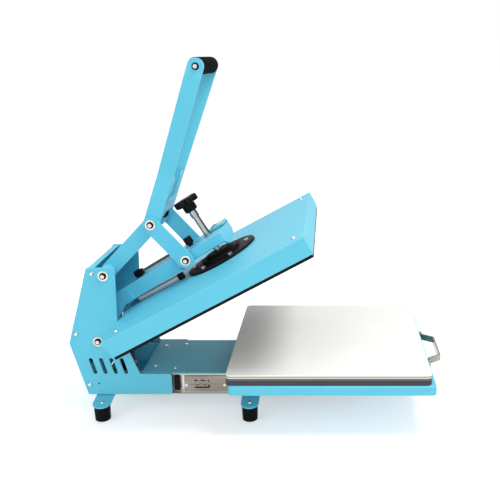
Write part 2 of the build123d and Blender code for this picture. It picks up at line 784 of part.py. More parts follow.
cover_screw_inset_x, cover_screw_inset_y = 22.0, 32.0
with BuildPart() as platen_bolts:
    with BuildSketch(hub_plane.offset(disc_thickness)):
        with PolarLocations(disc_bolt_circle, disc_bolt_count):
            RegularPolygon(disc_bolt_head_radius, 6)
    extrude(amount=disc_bolt_head_height)
    with BuildSketch(hub_plane.offset(disc_thickness)):
        with PolarLocations(disc_bolt_circle, disc_bolt_count):
            Circle(disc_bolt_radius)
    extrude(amount=heater_top - disc_bolt_depth - disc_thickness)
    with BuildSketch(platen_plane):
        with GridLocations(cover_side - 2 * cover_screw_inset_x, cover_side - 2 * cover_screw_inset_y, 2, 2):
            Circle(dome_radius)
    extrude(amount=2.2, taper=25)
save(platen_bolts, "platen_bolts")

# Thrust hub: holds the ball end of the pressure screw in a pocket
hub_top = disc_thickness + hub_height
with BuildPart() as thrust_hub:
    with BuildSketch(hub_plane.offset(disc_thickness)):
        Circle(hub_flange_radius)
    extrude(amount=hub_flange_height)
    with BuildSketch(hub_plane.offset(disc_thickness + hub_flange_height)):
        Circle(hub_radius)
    extrude(amount=hub_height - hub_flange_height)
    with BuildSketch(spindle_plane.offset(hub_top - spindle_pocket_depth)):
        Circle(spindle_radius + spindle_fit)
    extrude(amount=2 * spindle_pocket_depth, mode=Mode.SUBTRACT)
    chamfer(thrust_hub.faces().sort_by(platen_normal)[-1].edges().sort_by(SortBy.LENGTH)[-1], 1.5)
save(thrust_hub, "thrust_hub")

# Lead conduit lying on the cover and the gland that takes it through the cover
conduit_radius = 6.0
gland_radius = 6.8
gland_length = 11.0
conduit_y = -19.0
conduit_rear_u = -175.0
platen_gland_u = -82.0
conduit_level = conduit_radius + gap
with BuildPart() as platen_conduit:
    conduit_start = platen_plane.from_local_coords((conduit_rear_u, conduit_y, conduit_level))
    with BuildSketch(Plane(origin=conduit_start, x_dir=(0, 1, 0), z_dir=platen_plane.x_dir)):
        Circle(conduit_radius)
    extrude(amount=platen_gland_u - conduit_rear_u)
save(platen_conduit, "platen_conduit")

with BuildPart() as platen_glands:
    gland_start = platen_plane.from_local_coords((platen_gland_u, conduit_y, gland_radius))
    with BuildSketch(Plane(origin=gland_start, x_dir=(0, 1, 0), z_dir=platen_plane.x_dir)):
        Circle(gland_radius)
    extrude(amount=gland_length)
save(platen_glands, "platen_glands")

# Upper arm: channel beam, wide front box with the links' bosses, and rear brackets
# welded to the tube on the arm pivot and to the gas spring's pin
arm_bottom_offset = arm_top_offset - arm_height
screw_cut_length = 400.0
screw_channel = Cylinder(spindle_radius + spindle_hole_clearance, screw_cut_length, mode=Mode.PRIVATE)
screw_channel.locate(spindle_plane.location)
gas_pin_radius = 4.0
tube_half = plate_inner_y - 2.0
boss_face_y = elbow_y - gap


def cross_hole(x, z, radius):
    """Cylinder right across the machine, to be cut from walls that a cross pin passes."""
    with BuildPart() as drill:
        with BuildSketch(upright(plate_outer_y)):
            with Locations((x, z)):
                Circle(radius)
        extrude(amount=2 * plate_outer_y)
    return drill.part


gas_pin_hole = cross_hole(gas_head_x, gas_head_z, gas_pin_radius + running)
with BuildPart() as arm_beam:
    with BuildSketch(arm_plane.offset(arm_bottom_offset)):
        with Locations(((-arm_rear_reach - box_rear_reach) / 2, 0)):
            Rectangle(arm_rear_reach - box_rear_reach, 2 * arm_half_width)
    extrude(amount=arm_height)
    with BuildSketch(arm_plane.offset(arm_bottom_offset)):
        with Locations(((-arm_rear_reach - box_rear_reach) / 2, 0)):
            Rectangle(arm_rear_reach - box_rear_reach, 2 * (arm_half_width - arm_wall))
    extrude(amount=arm_height - arm_wall, mode=Mode.SUBTRACT)
    add(gas_pin_hole, mode=Mode.SUBTRACT)
save(arm_beam, "arm_beam")

link_boss_radius = 11.0
box_mid_u = (box_front_reach - box_rear_reach) / 2
box_length = box_front_reach + box_rear_reach
box_rear = arm_plane.from_local_coords((-box_rear_reach, 0, 0))
with BuildPart() as arm_front_box:
    with BuildSketch(Plane(origin=box_rear, x_dir=(0, 1, 0), z_dir=arm_plane.x_dir)):
        with BuildLine():
            Polyline(
                (-box_half_width, arm_top_offset),
                (box_half_width, arm_top_offset),
                (box_half_width, arm_top_offset - box_side_height),
                (box_half_width - box_bevel, arm_bottom_offset),
                (box_bevel - box_half_width, arm_bottom_offset),
                (-box_half_width, arm_top_offset - box_side_height),
                close=True,
            )
        make_face()
    extrude(amount=box_length)
    with BuildSketch(arm_plane.offset(arm_bottom_offset)):
        with Locations((box_mid_u, 0)):
            Rectangle(box_length - 2 * arm_wall, 2 * (box_half_width - arm_wall))
    extrude(amount=arm_height - arm_wall, mode=Mode.SUBTRACT)
    add(screw_channel, mode=Mode.SUBTRACT)
    for boss_start, boss_step in ((boss_face_y, 1), (-boss_face_y, -1)):
        with BuildSketch(upright(boss_start)):
            with Locations((link_foot_x, link_foot_z)):
                Circle(link_boss_radius)
        extrude(amount=boss_step * (boss_face_y - box_half_width))
save(arm_front_box, "arm_front_box")

arm_pivot_local = arm_plane.to_local_coords(Vector(arm_pivot_x, 0, arm_pivot_z))
arm_pivot_u, arm_pivot_w = arm_pivot_local.X, arm_pivot_local.Z
bracket_nose_slant = 20.0
with BuildPart() as arm_rear_brackets:
    with BuildSketch(side_profile(link_foot_x, link_foot_z, arm_tilt, arm_half_width + bracket_thickness)):
        with BuildLine():
            Polyline(
                (-bracket_front_reach, arm_top_offset),
                (-arm_rear_reach, arm_top_offset),
                (arm_pivot_u - bracket_boss_radius, arm_pivot_w),
                (arm_pivot_u, arm_pivot_w - bracket_boss_radius * 0.7),
                (arm_pivot_u + bracket_boss_radius, arm_pivot_w),
                (-bracket_front_reach - bracket_nose_slant, arm_bottom_offset),
                (-bracket_front_reach, arm_bottom_offset),
                close=True,
            )
        make_face()
        with Locations((arm_pivot_u, arm_pivot_w)):
            Circle(bracket_boss_radius)
            Circle(arm_tube_radius, mode=Mode.SUBTRACT)
    extrude(amount=bracket_thickness)
    mirror(about=Plane.XZ)
    with BuildSketch(upright(tube_half)):
        with Locations((arm_pivot_x, arm_pivot_z)):
            Circle(arm_tube_radius)
            Circle(shaft_radius, mode=Mode.SUBTRACT)
    extrude(amount=2 * tube_half)
    with BuildSketch(upright(arm_half_width + bracket_thickness)):
        with Locations((gas_head_x, gas_head_z)):
            Circle(gas_pin_radius)
    extrude(amount=2 * (arm_half_width + bracket_thickness))
save(arm_rear_brackets, "arm_rear_brackets")

# Screw nut block welded under the top of the front box
nut_height = 20.0
nut_radius = 19.0
nut_plane = arm_plane.offset(arm_top_offset - arm_wall)
nut_bore = Cylinder(spindle_radius + spindle_fit, screw_cut_length, mode=Mode.PRIVATE)
nut_bore.locate(spindle_plane.location)
nut_u = arm_plane.to_local_coords(hub_centre).X
with BuildPart() as spindle_nut:
    with BuildSketch(nut_plane):
        with Locations((nut_u, 0)):
            RegularPolygon(nut_radius, 6)
    extrude(amount=-nut_height)
    add(nut_bore, mode=Mode.SUBTRACT)
save(spindle_nut, "spindle_nut")

# Rubber stop on a stud, and the conduit with its gland along the arm's top
stop_u = 7.0
stop_stud_radius, stop_stud_height = 5.0, 4.0
stop_cap_radius, stop_cap_height = 9.0, 15.0
with BuildPart() as arm_stop:
    with BuildSketch(arm_top_plane):
        with Locations((stop_u, 0)):
            Circle(stop_stud_radius)
    extrude(amount=stop_stud_height)
    with BuildSketch(arm_top_plane.offset(stop_stud_height)):
        with Locations((stop_u, 0)):
            RegularPolygon(stop_cap_radius, 8)
    extrude(amount=stop_cap_height)
save(arm_stop, "arm_stop")

arm_gland_u = -121.0
arm_gland_length = 18.0
arm_gland_nut_length = 12.0
arm_gland_neck_radius = 6.2
arm_conduit_radius = 3.0
arm_conduit_end_u = -box_rear_reach - 10.0
arm_conduit_y = -8.0
arm_conduit_level = 7.5
with BuildPart() as arm_glands:
    arm_gland_start = arm_top_plane.from_local_coords((arm_gland_u, arm_conduit_y, arm_conduit_level))
    with BuildSketch(Plane(origin=arm_gland_start, x_dir=(0, 1, 0), z_dir=arm_plane.x_dir)):
        RegularPolygon(arm_conduit_level / cos(pi / 6), 6)
    extrude(amount=arm_gland_nut_length)
    with BuildSketch(Plane(origin=arm_gland_start, x_dir=(0, 1, 0), z_dir=arm_plane.x_dir)):
        Circle(arm_gland_neck_radius)
    extrude(amount=arm_gland_length)
    front_gland_start = arm_top_plane.from_local_coords((arm_conduit_end_u, arm_conduit_y, arm_conduit_level))
    with BuildSketch(Plane(origin=front_gland_start, x_dir=(0, 1, 0), z_dir=arm_plane.x_dir)):
        Circle(arm_conduit_level)
    extrude(amount=box_rear_reach - 4.0)
save(arm_glands, "arm_glands")

with BuildPart() as arm_conduit:
    arm_conduit_start = arm_top_plane.from_local_coords(
        (arm_gland_u + arm_gland_length, arm_conduit_y, arm_conduit_level)
    )
    with BuildSketch(Plane(origin=arm_conduit_start, x_dir=(0, 1, 0), z_dir=arm_plane.x_dir)):
        Circle(arm_conduit_radius)
    extrude(amount=arm_conduit_end_u - arm_gland_u - arm_gland_length)
save(arm_conduit, "arm_conduit")

# Control panel on the front of the box: bezel, window, buttons and board
panel_u = 67.0
panel_y = 34.0
panel_length = 34.0
panel_width = 40.0
panel_corner = 3.0
window_depth = 1.5
window_length = 12.0
window_width = 32.0
window_u = panel_u + 7.0
button_u = panel_u - 10.0
button_hole = button_radius + 0.2
button_spots = [(button_u, panel_y + step * button_pitch) for step in (-1, 0, 1)]
with BuildPart() as control_panel:
    with BuildSketch(arm_top_plane):
        with Locations((panel_u, panel_y)):
            RectangleRounded(panel_length, panel_width, panel_corner)
    extrude(amount=panel_thickness)
    with BuildSketch(arm_top_plane):
        with Locations(*button_spots):
            Circle(button_hole)
    extrude(amount=panel_thickness, mode=Mode.SUBTRACT)
    with BuildSketch(arm_top_plane.offset(panel_thickness)):
        with Locations((window_u, panel_y)):
            Rectangle(window_length, window_width)
    extrude(amount=-window_depth, mode=Mode.SUBTRACT)
save(control_panel, "control_panel")

with BuildPart() as display_window:
    with BuildSketch(arm_top_plane.offset(panel_thickness - window_depth)):
        with Locations((window_u, panel_y)):
            Rectangle(window_length, window_width)
    extrude(amount=window_depth - 0.2)
save(display_window, "display_window")

button_bottom = button_travel + 0.1
arm_normal = Axis(arm_top_plane.origin, arm_top_plane.z_dir)
for button_name, (spot_u, spot_y) in zip(("down", "mode", "up"), button_spots):
    with BuildPart() as button:
        with BuildSketch(arm_top_plane.offset(button_bottom)):
            with Locations((spot_u, spot_y)):
                Circle(button_radius)
        extrude(amount=panel_thickness + button_proud - button_bottom)
        fillet(button.faces().sort_by(arm_normal)[-1].edges(), 0.6)
    save(button, f"button_{button_name}")

board_length, board_thickness = 22.0, 4.0
board_width = panel_width - 10.0
with BuildPart() as control_board:
    with BuildSketch(arm_plane.offset(arm_top_offset - arm_wall)):
        with Locations((panel_u + 2.0, panel_y + 1.0)):
            Rectangle(board_length, board_width)
    extrude(amount=-board_thickness)
save(control_board, "control_board")

# Pressure screw: spindle with its shoulder, and lobed knob
knob_bottom = knob_height - knob_thickness / 2
hub_bottom = knob_bottom - knob_hub_length
with BuildPart() as pressure_spindle:
    with BuildSketch(spindle_plane.offset(hub_top - spindle_pocket_depth + running)):
        Circle(spindle_radius)
    extrude(amount=knob_height - hub_top + spindle_pocket_depth)
    with BuildSketch(spindle_plane.offset(hub_bottom - collar_length)):
        Circle(collar_radius)
    extrude(amount=collar_length)
save(pressure_spindle, "pressure_spindle")

with BuildPart() as pressure_knob:
    with BuildSketch(spindle_plane.offset(knob_bottom)):
        Circle(knob_radius - knob_lobe_radius / 2)
        with PolarLocations(knob_radius - knob_lobe_radius, knob_lobes):
            Circle(knob_lobe_radius)
    extrude(amount=knob_thickness)
    with BuildSketch(spindle_plane.offset(hub_bottom)):
        Circle(knob_hub_radius)
    extrude(amount=knob_hub_length)
    with BuildSketch(spindle_plane.offset(hub_bottom)):
        Circle(spindle_radius + running)
    extrude(amount=knob_height - hub_bottom + 2 * running, mode=Mode.SUBTRACT)
save(pressure_knob, "pressure_knob")

# Lever: two bars, a web and the tube on the lever pivot, up to the elbow
elbow_radius = 6.0
lever_web_inset = 22.0
bar_plane = side_profile(lever_pivot_x, lever_pivot_z, lever_tilt, lever_half_width)
with BuildPart() as lever_bar:
    with BuildSketch(bar_plane):
        bar_outline(lever_length, bar_width)
        Circle(lever_tube_radius, mode=Mode.SUBTRACT)
        with Locations((lever_length, 0)):
            Circle(elbow_radius, mode=Mode.SUBTRACT)
    extrude(amount=lever_wall)
    mirror(about=Plane.XZ)
    with BuildSketch(bar_plane):
        with Locations((lever_length / 2, -bar_width / 2 + lever_wall / 2)):
            Rectangle(lever_length - 2 * lever_web_inset, lever_wall)
    extrude(amount=2 * lever_half_width)
    with BuildSketch(upright(tube_half)):
        with Locations((lever_pivot_x, lever_pivot_z)):
            Circle(lever_tube_radius)
            Circle(shaft_radius, mode=Mode.SUBTRACT)
    extrude(amount=2 * tube_half)
save(lever_bar, "lever_bar")

# Handle plates: straight beside the elbow, where a web joins their front edges, then
# spreading out to the grip
handle_turn = radians(handle_tilt)
handle_dir = Vector(cos(handle_turn), 0, sin(handle_turn))
handle_normal = Vector(-sin(handle_turn), 0, cos(handle_turn))
strip_plane = Plane(origin=(elbow_x, 0, elbow_z), x_dir=handle_dir, z_dir=handle_normal)
handle_plane = side_profile(elbow_x, elbow_z, handle_tilt, plate_outer_y)
spread_end = grip_length - handle_grip_straight / 2
handle_end = grip_length + bar_width / 2
web_start = 22.0
web_end = 46.0
web_tab_width = 24.0
web_tab_end = 98.0
web_tab_corner = web_tab_width / 2
with BuildPart() as handle_plates:
    with BuildSketch(strip_plane.offset(-bar_width / 2)):
        with BuildLine():
            Polyline(
                (-bar_width / 2, lever_half_width),
                (handle_straight, lever_half_width),
                (spread_end, handle_grip_inner_y),
                (handle_end, handle_grip_inner_y),
                (handle_end, handle_grip_inner_y + handle_plate),
                (spread_end, handle_grip_inner_y + handle_plate),
                (handle_straight, lever_half_width + handle_plate),
                (-bar_width / 2, lever_half_width + handle_plate),
                close=True,
            )
        make_face()
    extrude(amount=bar_width)
    with BuildSketch(handle_plane):
        bar_outline(grip_length, bar_width)
        Circle(elbow_radius, mode=Mode.SUBTRACT)
        with Locations((grip_length, 0)):
            Circle(bolt_shank_radius + running, mode=Mode.SUBTRACT)
    extrude(amount=plate_outer_y, mode=Mode.INTERSECT)
    mirror(about=Plane.XZ)
    with BuildSketch(strip_plane.offset(-bar_width / 2)):
        with Locations(((web_start + web_tab_end - web_tab_corner) / 2, 0)):
            Rectangle(web_tab_end - web_tab_corner - web_start, 2 * lever_half_width)
        with Locations(((web_end + web_tab_end) / 2, 0)):
            Rectangle(web_tab_end - web_end, 2 * (lever_half_width - web_tab_width), mode=Mode.SUBTRACT)
        for tab_side in (-1, 1):
            with Locations((web_tab_end - web_tab_corner, tab_side * (lever_half_width - web_tab_width / 2))):
                Circle(web_tab_corner)
    extrude(amount=lever_wall)
save(handle_plates, "handle_plates")

elbow_face_y = link_outer_y + gap
with BuildPart() as elbow_shaft:
    add(pivot_shaft(elbow_x, elbow_z, elbow_radius - running, elbow_face_y))
save(elbow_shaft, "elbow_shaft")

with BuildPart() as handle_grip:
    with BuildSketch(upright(handle_grip_inner_y)):
        with Locations((grip_x, grip_z)):
            Circle(grip_radius)
    extrude(amount=2 * handle_grip_inner_y)
    fillet(handle_grip.edges().filter_by(GeomType.CIRCLE), 1.5)
    for plane, side in ((upright(handle_grip_inner_y), 1), (upright(-handle_grip_inner_y), -1)):
        with BuildSketch(plane):
            with Locations((grip_x, grip_z)):
                Circle(bolt_shank_radius + running)
        extrude(amount=side * (bolt_shank_length + 1.0), mode=Mode.SUBTRACT)
save(handle_grip, "handle_grip")

grip_face_y = handle_grip_inner_y + handle_plate
grip_shank_length = handle_plate + bolt_shank_length - 2.0
with BuildPart() as handle_bolts:
    add(end_bolts(elbow_x, elbow_z, elbow_face_y, bolt_shank_length))
    add(end_bolts(grip_x, grip_z, grip_face_y, grip_shank_length, washer=bolt_head_radius))
save(handle_bolts, "handle_bolts")

# Links from the elbow down to the arm
with BuildPart() as link_plates:
    with BuildSketch(side_profile(elbow_x, elbow_z, link_tilt, link_outer_y)):
        bar_outline(link_length, link_width)
        Circle(elbow_radius, mode=Mode.SUBTRACT)
        with Locations((link_length, 0)):
            Circle(bolt_shank_radius + running, mode=Mode.SUBTRACT)
    extrude(amount=link_thickness)
    mirror(about=Plane.XZ)
save(link_plates, "link_plates")

with BuildPart() as link_bolts:
    add(end_bolts(link_foot_x, link_foot_z, link_outer_y, link_thickness))
save(link_bolts, "link_bolts")

# Gas spring: anchor on the floor pan, cylinder, rod and its end eye
gas_length = hypot(gas_head_x - gas_anchor_x, gas_head_z - gas_anchor_z)
gas_tilt = degrees(atan2(gas_head_z - gas_anchor_z, gas_head_x - gas_anchor_x))
gas_dir = Vector(cos(radians(gas_tilt)), 0, sin(radians(gas_tilt)))
gas_plane = Plane(origin=(gas_anchor_x, 0, gas_anchor_z), x_dir=(0, 1, 0), z_dir=gas_dir)
eye_half = 6.0
fork_half = eye_half + 4.0
fork_radius = 9.0
fork_gap_length = 60.0
gas_neck_radius = 5.0
gas_neck_end = 12.0
floor_level = base_bottom + base_sheet
with BuildPart() as gas_spring_anchor:
    with BuildSketch(upright(fork_half)):
        with Locations((gas_anchor_x, (gas_anchor_z + floor_level) / 2)):
            Rectangle(2 * fork_radius, gas_anchor_z - floor_level)
        with Locations((gas_anchor_x, gas_anchor_z)):
            Circle(fork_radius)
    extrude(amount=2 * fork_half)
    with BuildSketch(upright(eye_half + gap)):
        with Locations((gas_anchor_x, gas_anchor_z)):
            Rectangle(fork_gap_length, 2 * (gas_anchor_z - floor_level - 3.0))
    extrude(amount=2 * (eye_half + gap), mode=Mode.SUBTRACT)
    with BuildSketch(upright(fork_half)):
        with Locations((gas_anchor_x, gas_anchor_z)):
            Circle(gas_pin_radius)
    extrude(amount=2 * fork_half)
save(gas_spring_anchor, "gas_spring_anchor")

gas_bore_start = 20.0
with BuildPart() as gas_spring_cylinder:
    with BuildSketch(gas_plane.offset(gas_neck_end)):
        Circle(gas_cylinder_radius)
    extrude(amount=gas_cylinder_length)
    with BuildSketch(gas_plane.offset(gas_socket_radius - 2.0)):
        Circle(gas_neck_radius)
    extrude(amount=gas_neck_end - gas_socket_radius + 2.0)
    with BuildSketch(upright(eye_half)):
        with Locations((gas_anchor_x, gas_anchor_z)):
            Circle(gas_socket_radius)
    extrude(amount=2 * eye_half)
    with BuildSketch(upright(plate_inner_y)):
        with Locations((gas_anchor_x, gas_anchor_z)):
            Circle(gas_pin_radius + running)
    extrude(amount=2 * plate_inner_y, mode=Mode.SUBTRACT)
    with BuildSketch(gas_plane.offset(gas_bore_start)):
        Circle(gas_rod_radius + running)
    extrude(amount=gas_cylinder_length, mode=Mode.SUBTRACT)
save(gas_spring_cylinder, "gas_spring_cylinder")

rod_start = 60.0
with BuildPart() as gas_spring_rod:
    with BuildSketch(gas_plane.offset(rod_start)):
        Circle(gas_rod_radius)
    extrude(amount=gas_length - rod_start - gas_socket_radius + 1.0)
    with BuildSketch(upright(eye_half)):
        with Locations((gas_head_x, gas_head_z)):
            Circle(gas_socket_radius)
    extrude(amount=2 * eye_half)
    with BuildSketch(upright(eye_half)):
        with Locations((gas_head_x, gas_head_z)):
            Circle(gas_pin_radius + gas_socket_clearance)
    extrude(amount=2 * eye_half, mode=Mode.SUBTRACT)
save(gas_spring_rod, "gas_spring_rod")

# Mains inlet and power switch, set in the openings of the rear cover
inlet_blades = [(-6.5, -1.5), (0.0, 2.5), (6.5, -1.5)]
blade_thickness, blade_width, blade_foot = 2.0, 4.0, 10.0
inlet_wall = 2.0
flange_corner = 3.0
with BuildPart() as inlet_socket:
    with BuildSketch(on_slope(inlet_y)):
        RectangleRounded(inlet_width + 10.0, inlet_height + 8.0, flange_corner)
    extrude(amount=flange_thickness)
    with BuildSketch(on_slope(inlet_y)):
        Rectangle(inlet_width, inlet_height)
    extrude(amount=-inlet_depth)
    with BuildSketch(on_slope(inlet_y, -flange_thickness)):
        RectangleRounded(inlet_width - 2 * inlet_wall, inlet_height - 2 * inlet_wall, flange_corner)
    extrude(amount=-inlet_depth, mode=Mode.SUBTRACT)
    with BuildSketch(on_slope(inlet_y, inlet_depth - flange_thickness)):
        with Locations(*inlet_blades):
            Rectangle(blade_thickness, blade_width)
    extrude(amount=inlet_depth - blade_foot)
save(inlet_socket, "inlet_socket")

rocker_well_width = rocker_width + 1.0
rocker_well_height = rocker_height + 1.0
rocker_pin_radius = 1.5
switch_wall = 1.0
switch_flange = 3.0
with BuildPart() as switch_housing:
    with BuildSketch(on_slope(switch_y)):
        RectangleRounded(rocker_well_width + 2 * switch_flange, rocker_well_height + 2 * switch_flange, 2.0)
    extrude(amount=flange_thickness)
    with BuildSketch(on_slope(switch_y)):
        Rectangle(rocker_well_width + 2 * switch_wall, rocker_well_height + 2 * switch_wall)
    extrude(amount=-inlet_depth)
    with BuildSketch(on_slope(switch_y, -flange_thickness)):
        Rectangle(rocker_well_width, rocker_well_height)
    extrude(amount=-inlet_depth + 2.0, mode=Mode.SUBTRACT)
    rocker_pin_plane = Plane(origin=on_slope(switch_y).origin, x_dir=slope_normal, z_dir=(0, 1, 0))
    with BuildSketch(rocker_pin_plane.offset(-rocker_width / 2 - 1.0)):
        Circle(rocker_pin_radius)
    extrude(amount=rocker_width + 2.0)
save(switch_housing, "switch_housing")

rocker_depth = 9.0
rocker_rise = 2.8
rocker_half = rocker_height / 2 - 0.6
rocker_foot_half = 3.0
with BuildPart() as power_rocker:
    with BuildSketch(rocker_pin_plane.offset(-rocker_width / 2)):
        with BuildLine():
            Polyline(
                (flange_thickness + 1.0, 0),
                (flange_thickness + rocker_rise, rocker_half),
                (-2.0, rocker_half),
                (-rocker_depth, rocker_foot_half),
                (-rocker_depth, -rocker_foot_half),
                (-2.0, -rocker_half),
                (flange_thickness + rocker_rise, -rocker_half),
                close=True,
            )
        make_face()
        Circle(rocker_pin_radius + running, mode=Mode.SUBTRACT)
    extrude(amount=rocker_width)
save(power_rocker, "power_rocker")


# Terminal block and power relay on the floor pan behind the press bed
wiring_x = -300.0
terminal_y, terminal_length, terminal_width, terminal_height = 45.0, 20.0, 42.0, 16.0
relay_y, relay_length, relay_width, relay_height = -42.0, 44.0, 46.0, 22.0
with BuildPart() as terminal_block:
    with BuildSketch(Plane.XY.offset(floor_level)):
        with Locations((wiring_x, terminal_y)):
            Rectangle(terminal_length, terminal_width)
    extrude(amount=terminal_height)
save(terminal_block, "terminal_block")

with BuildPart() as power_relay:
    with BuildSketch(Plane.XY.offset(floor_level)):
        with Locations((wiring_x, relay_y)):
            Rectangle(relay_length, relay_width)
    extrude(amount=relay_height)
save(power_relay, "power_relay")
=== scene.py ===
import logging
import math
from dataclasses import dataclass
from enum import Enum
from typing import ClassVar, Iterable, Sequence

import bmesh
import bpy
from mathutils import Matrix, Vector


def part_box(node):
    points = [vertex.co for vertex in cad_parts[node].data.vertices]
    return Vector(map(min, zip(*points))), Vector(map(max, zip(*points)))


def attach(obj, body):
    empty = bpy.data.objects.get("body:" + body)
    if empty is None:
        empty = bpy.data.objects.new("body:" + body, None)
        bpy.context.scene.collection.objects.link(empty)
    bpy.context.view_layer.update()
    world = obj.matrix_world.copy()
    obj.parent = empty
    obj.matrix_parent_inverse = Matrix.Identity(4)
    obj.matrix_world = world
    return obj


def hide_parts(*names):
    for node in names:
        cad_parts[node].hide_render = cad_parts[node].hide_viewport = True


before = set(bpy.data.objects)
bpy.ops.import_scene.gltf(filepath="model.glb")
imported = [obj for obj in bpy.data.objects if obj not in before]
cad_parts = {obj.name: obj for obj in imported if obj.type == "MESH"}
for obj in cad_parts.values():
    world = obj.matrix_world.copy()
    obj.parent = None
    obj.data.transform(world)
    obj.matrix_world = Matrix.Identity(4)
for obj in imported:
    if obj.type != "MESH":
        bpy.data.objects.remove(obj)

log = logging.getLogger("slide_out_press")

Colour = tuple[float, float, float]
Point = tuple[float, float, float]

WELD = 1e-6
ARM_TILT = 31.0
PLATEN_TILT = 28.3
ELBOW = (-0.1995, 0.3804)


class Body(str, Enum):
    """The moving groups of the machine that new pieces ride on."""

    BASE = "base"
    DRAWER = "drawer"
    ARM = "arm"
    PLATEN = "platen"
    LEVER = "lever"
    SCREW = "screw"
    LINKS = "links"


class Grain(Enum):
    """Which way the marks of a finish run."""

    EVEN = (1.0, 1.0, 1.0)
    ALONG_X = (0.04, 1.0, 1.0)


@dataclass(frozen=True)
class Wire:
    """One output of a shader node, or a plain number, with arithmetic that adds Math nodes."""

    bench: "Bench"
    end: bpy.types.NodeSocket

    def _with(self, operation: str, *others: "Wire | float") -> "Wire":
        """Return the result of a Math node fed by this wire and the others."""
        return self.bench.math(operation, self, *others)

    def __add__(self, other: "Wire | float") -> "Wire":
        """Return the sum."""
        return self._with("ADD", other)

    __radd__ = __add__

    def __mul__(self, other: "Wire | float") -> "Wire":
        """Return the product."""
        return self._with("MULTIPLY", other)

    __rmul__ = __mul__

    def __rsub__(self, other: float) -> "Wire":
        """Return a number less this wire."""
        return self.bench.math("SUBTRACT", other, self)

    def clipped(self) -> "Wire":
        """Return this wire held between 0 and 1."""
        return self.bench.math("MAXIMUM", self.bench.math("MINIMUM", self, 1.0), 0.0)


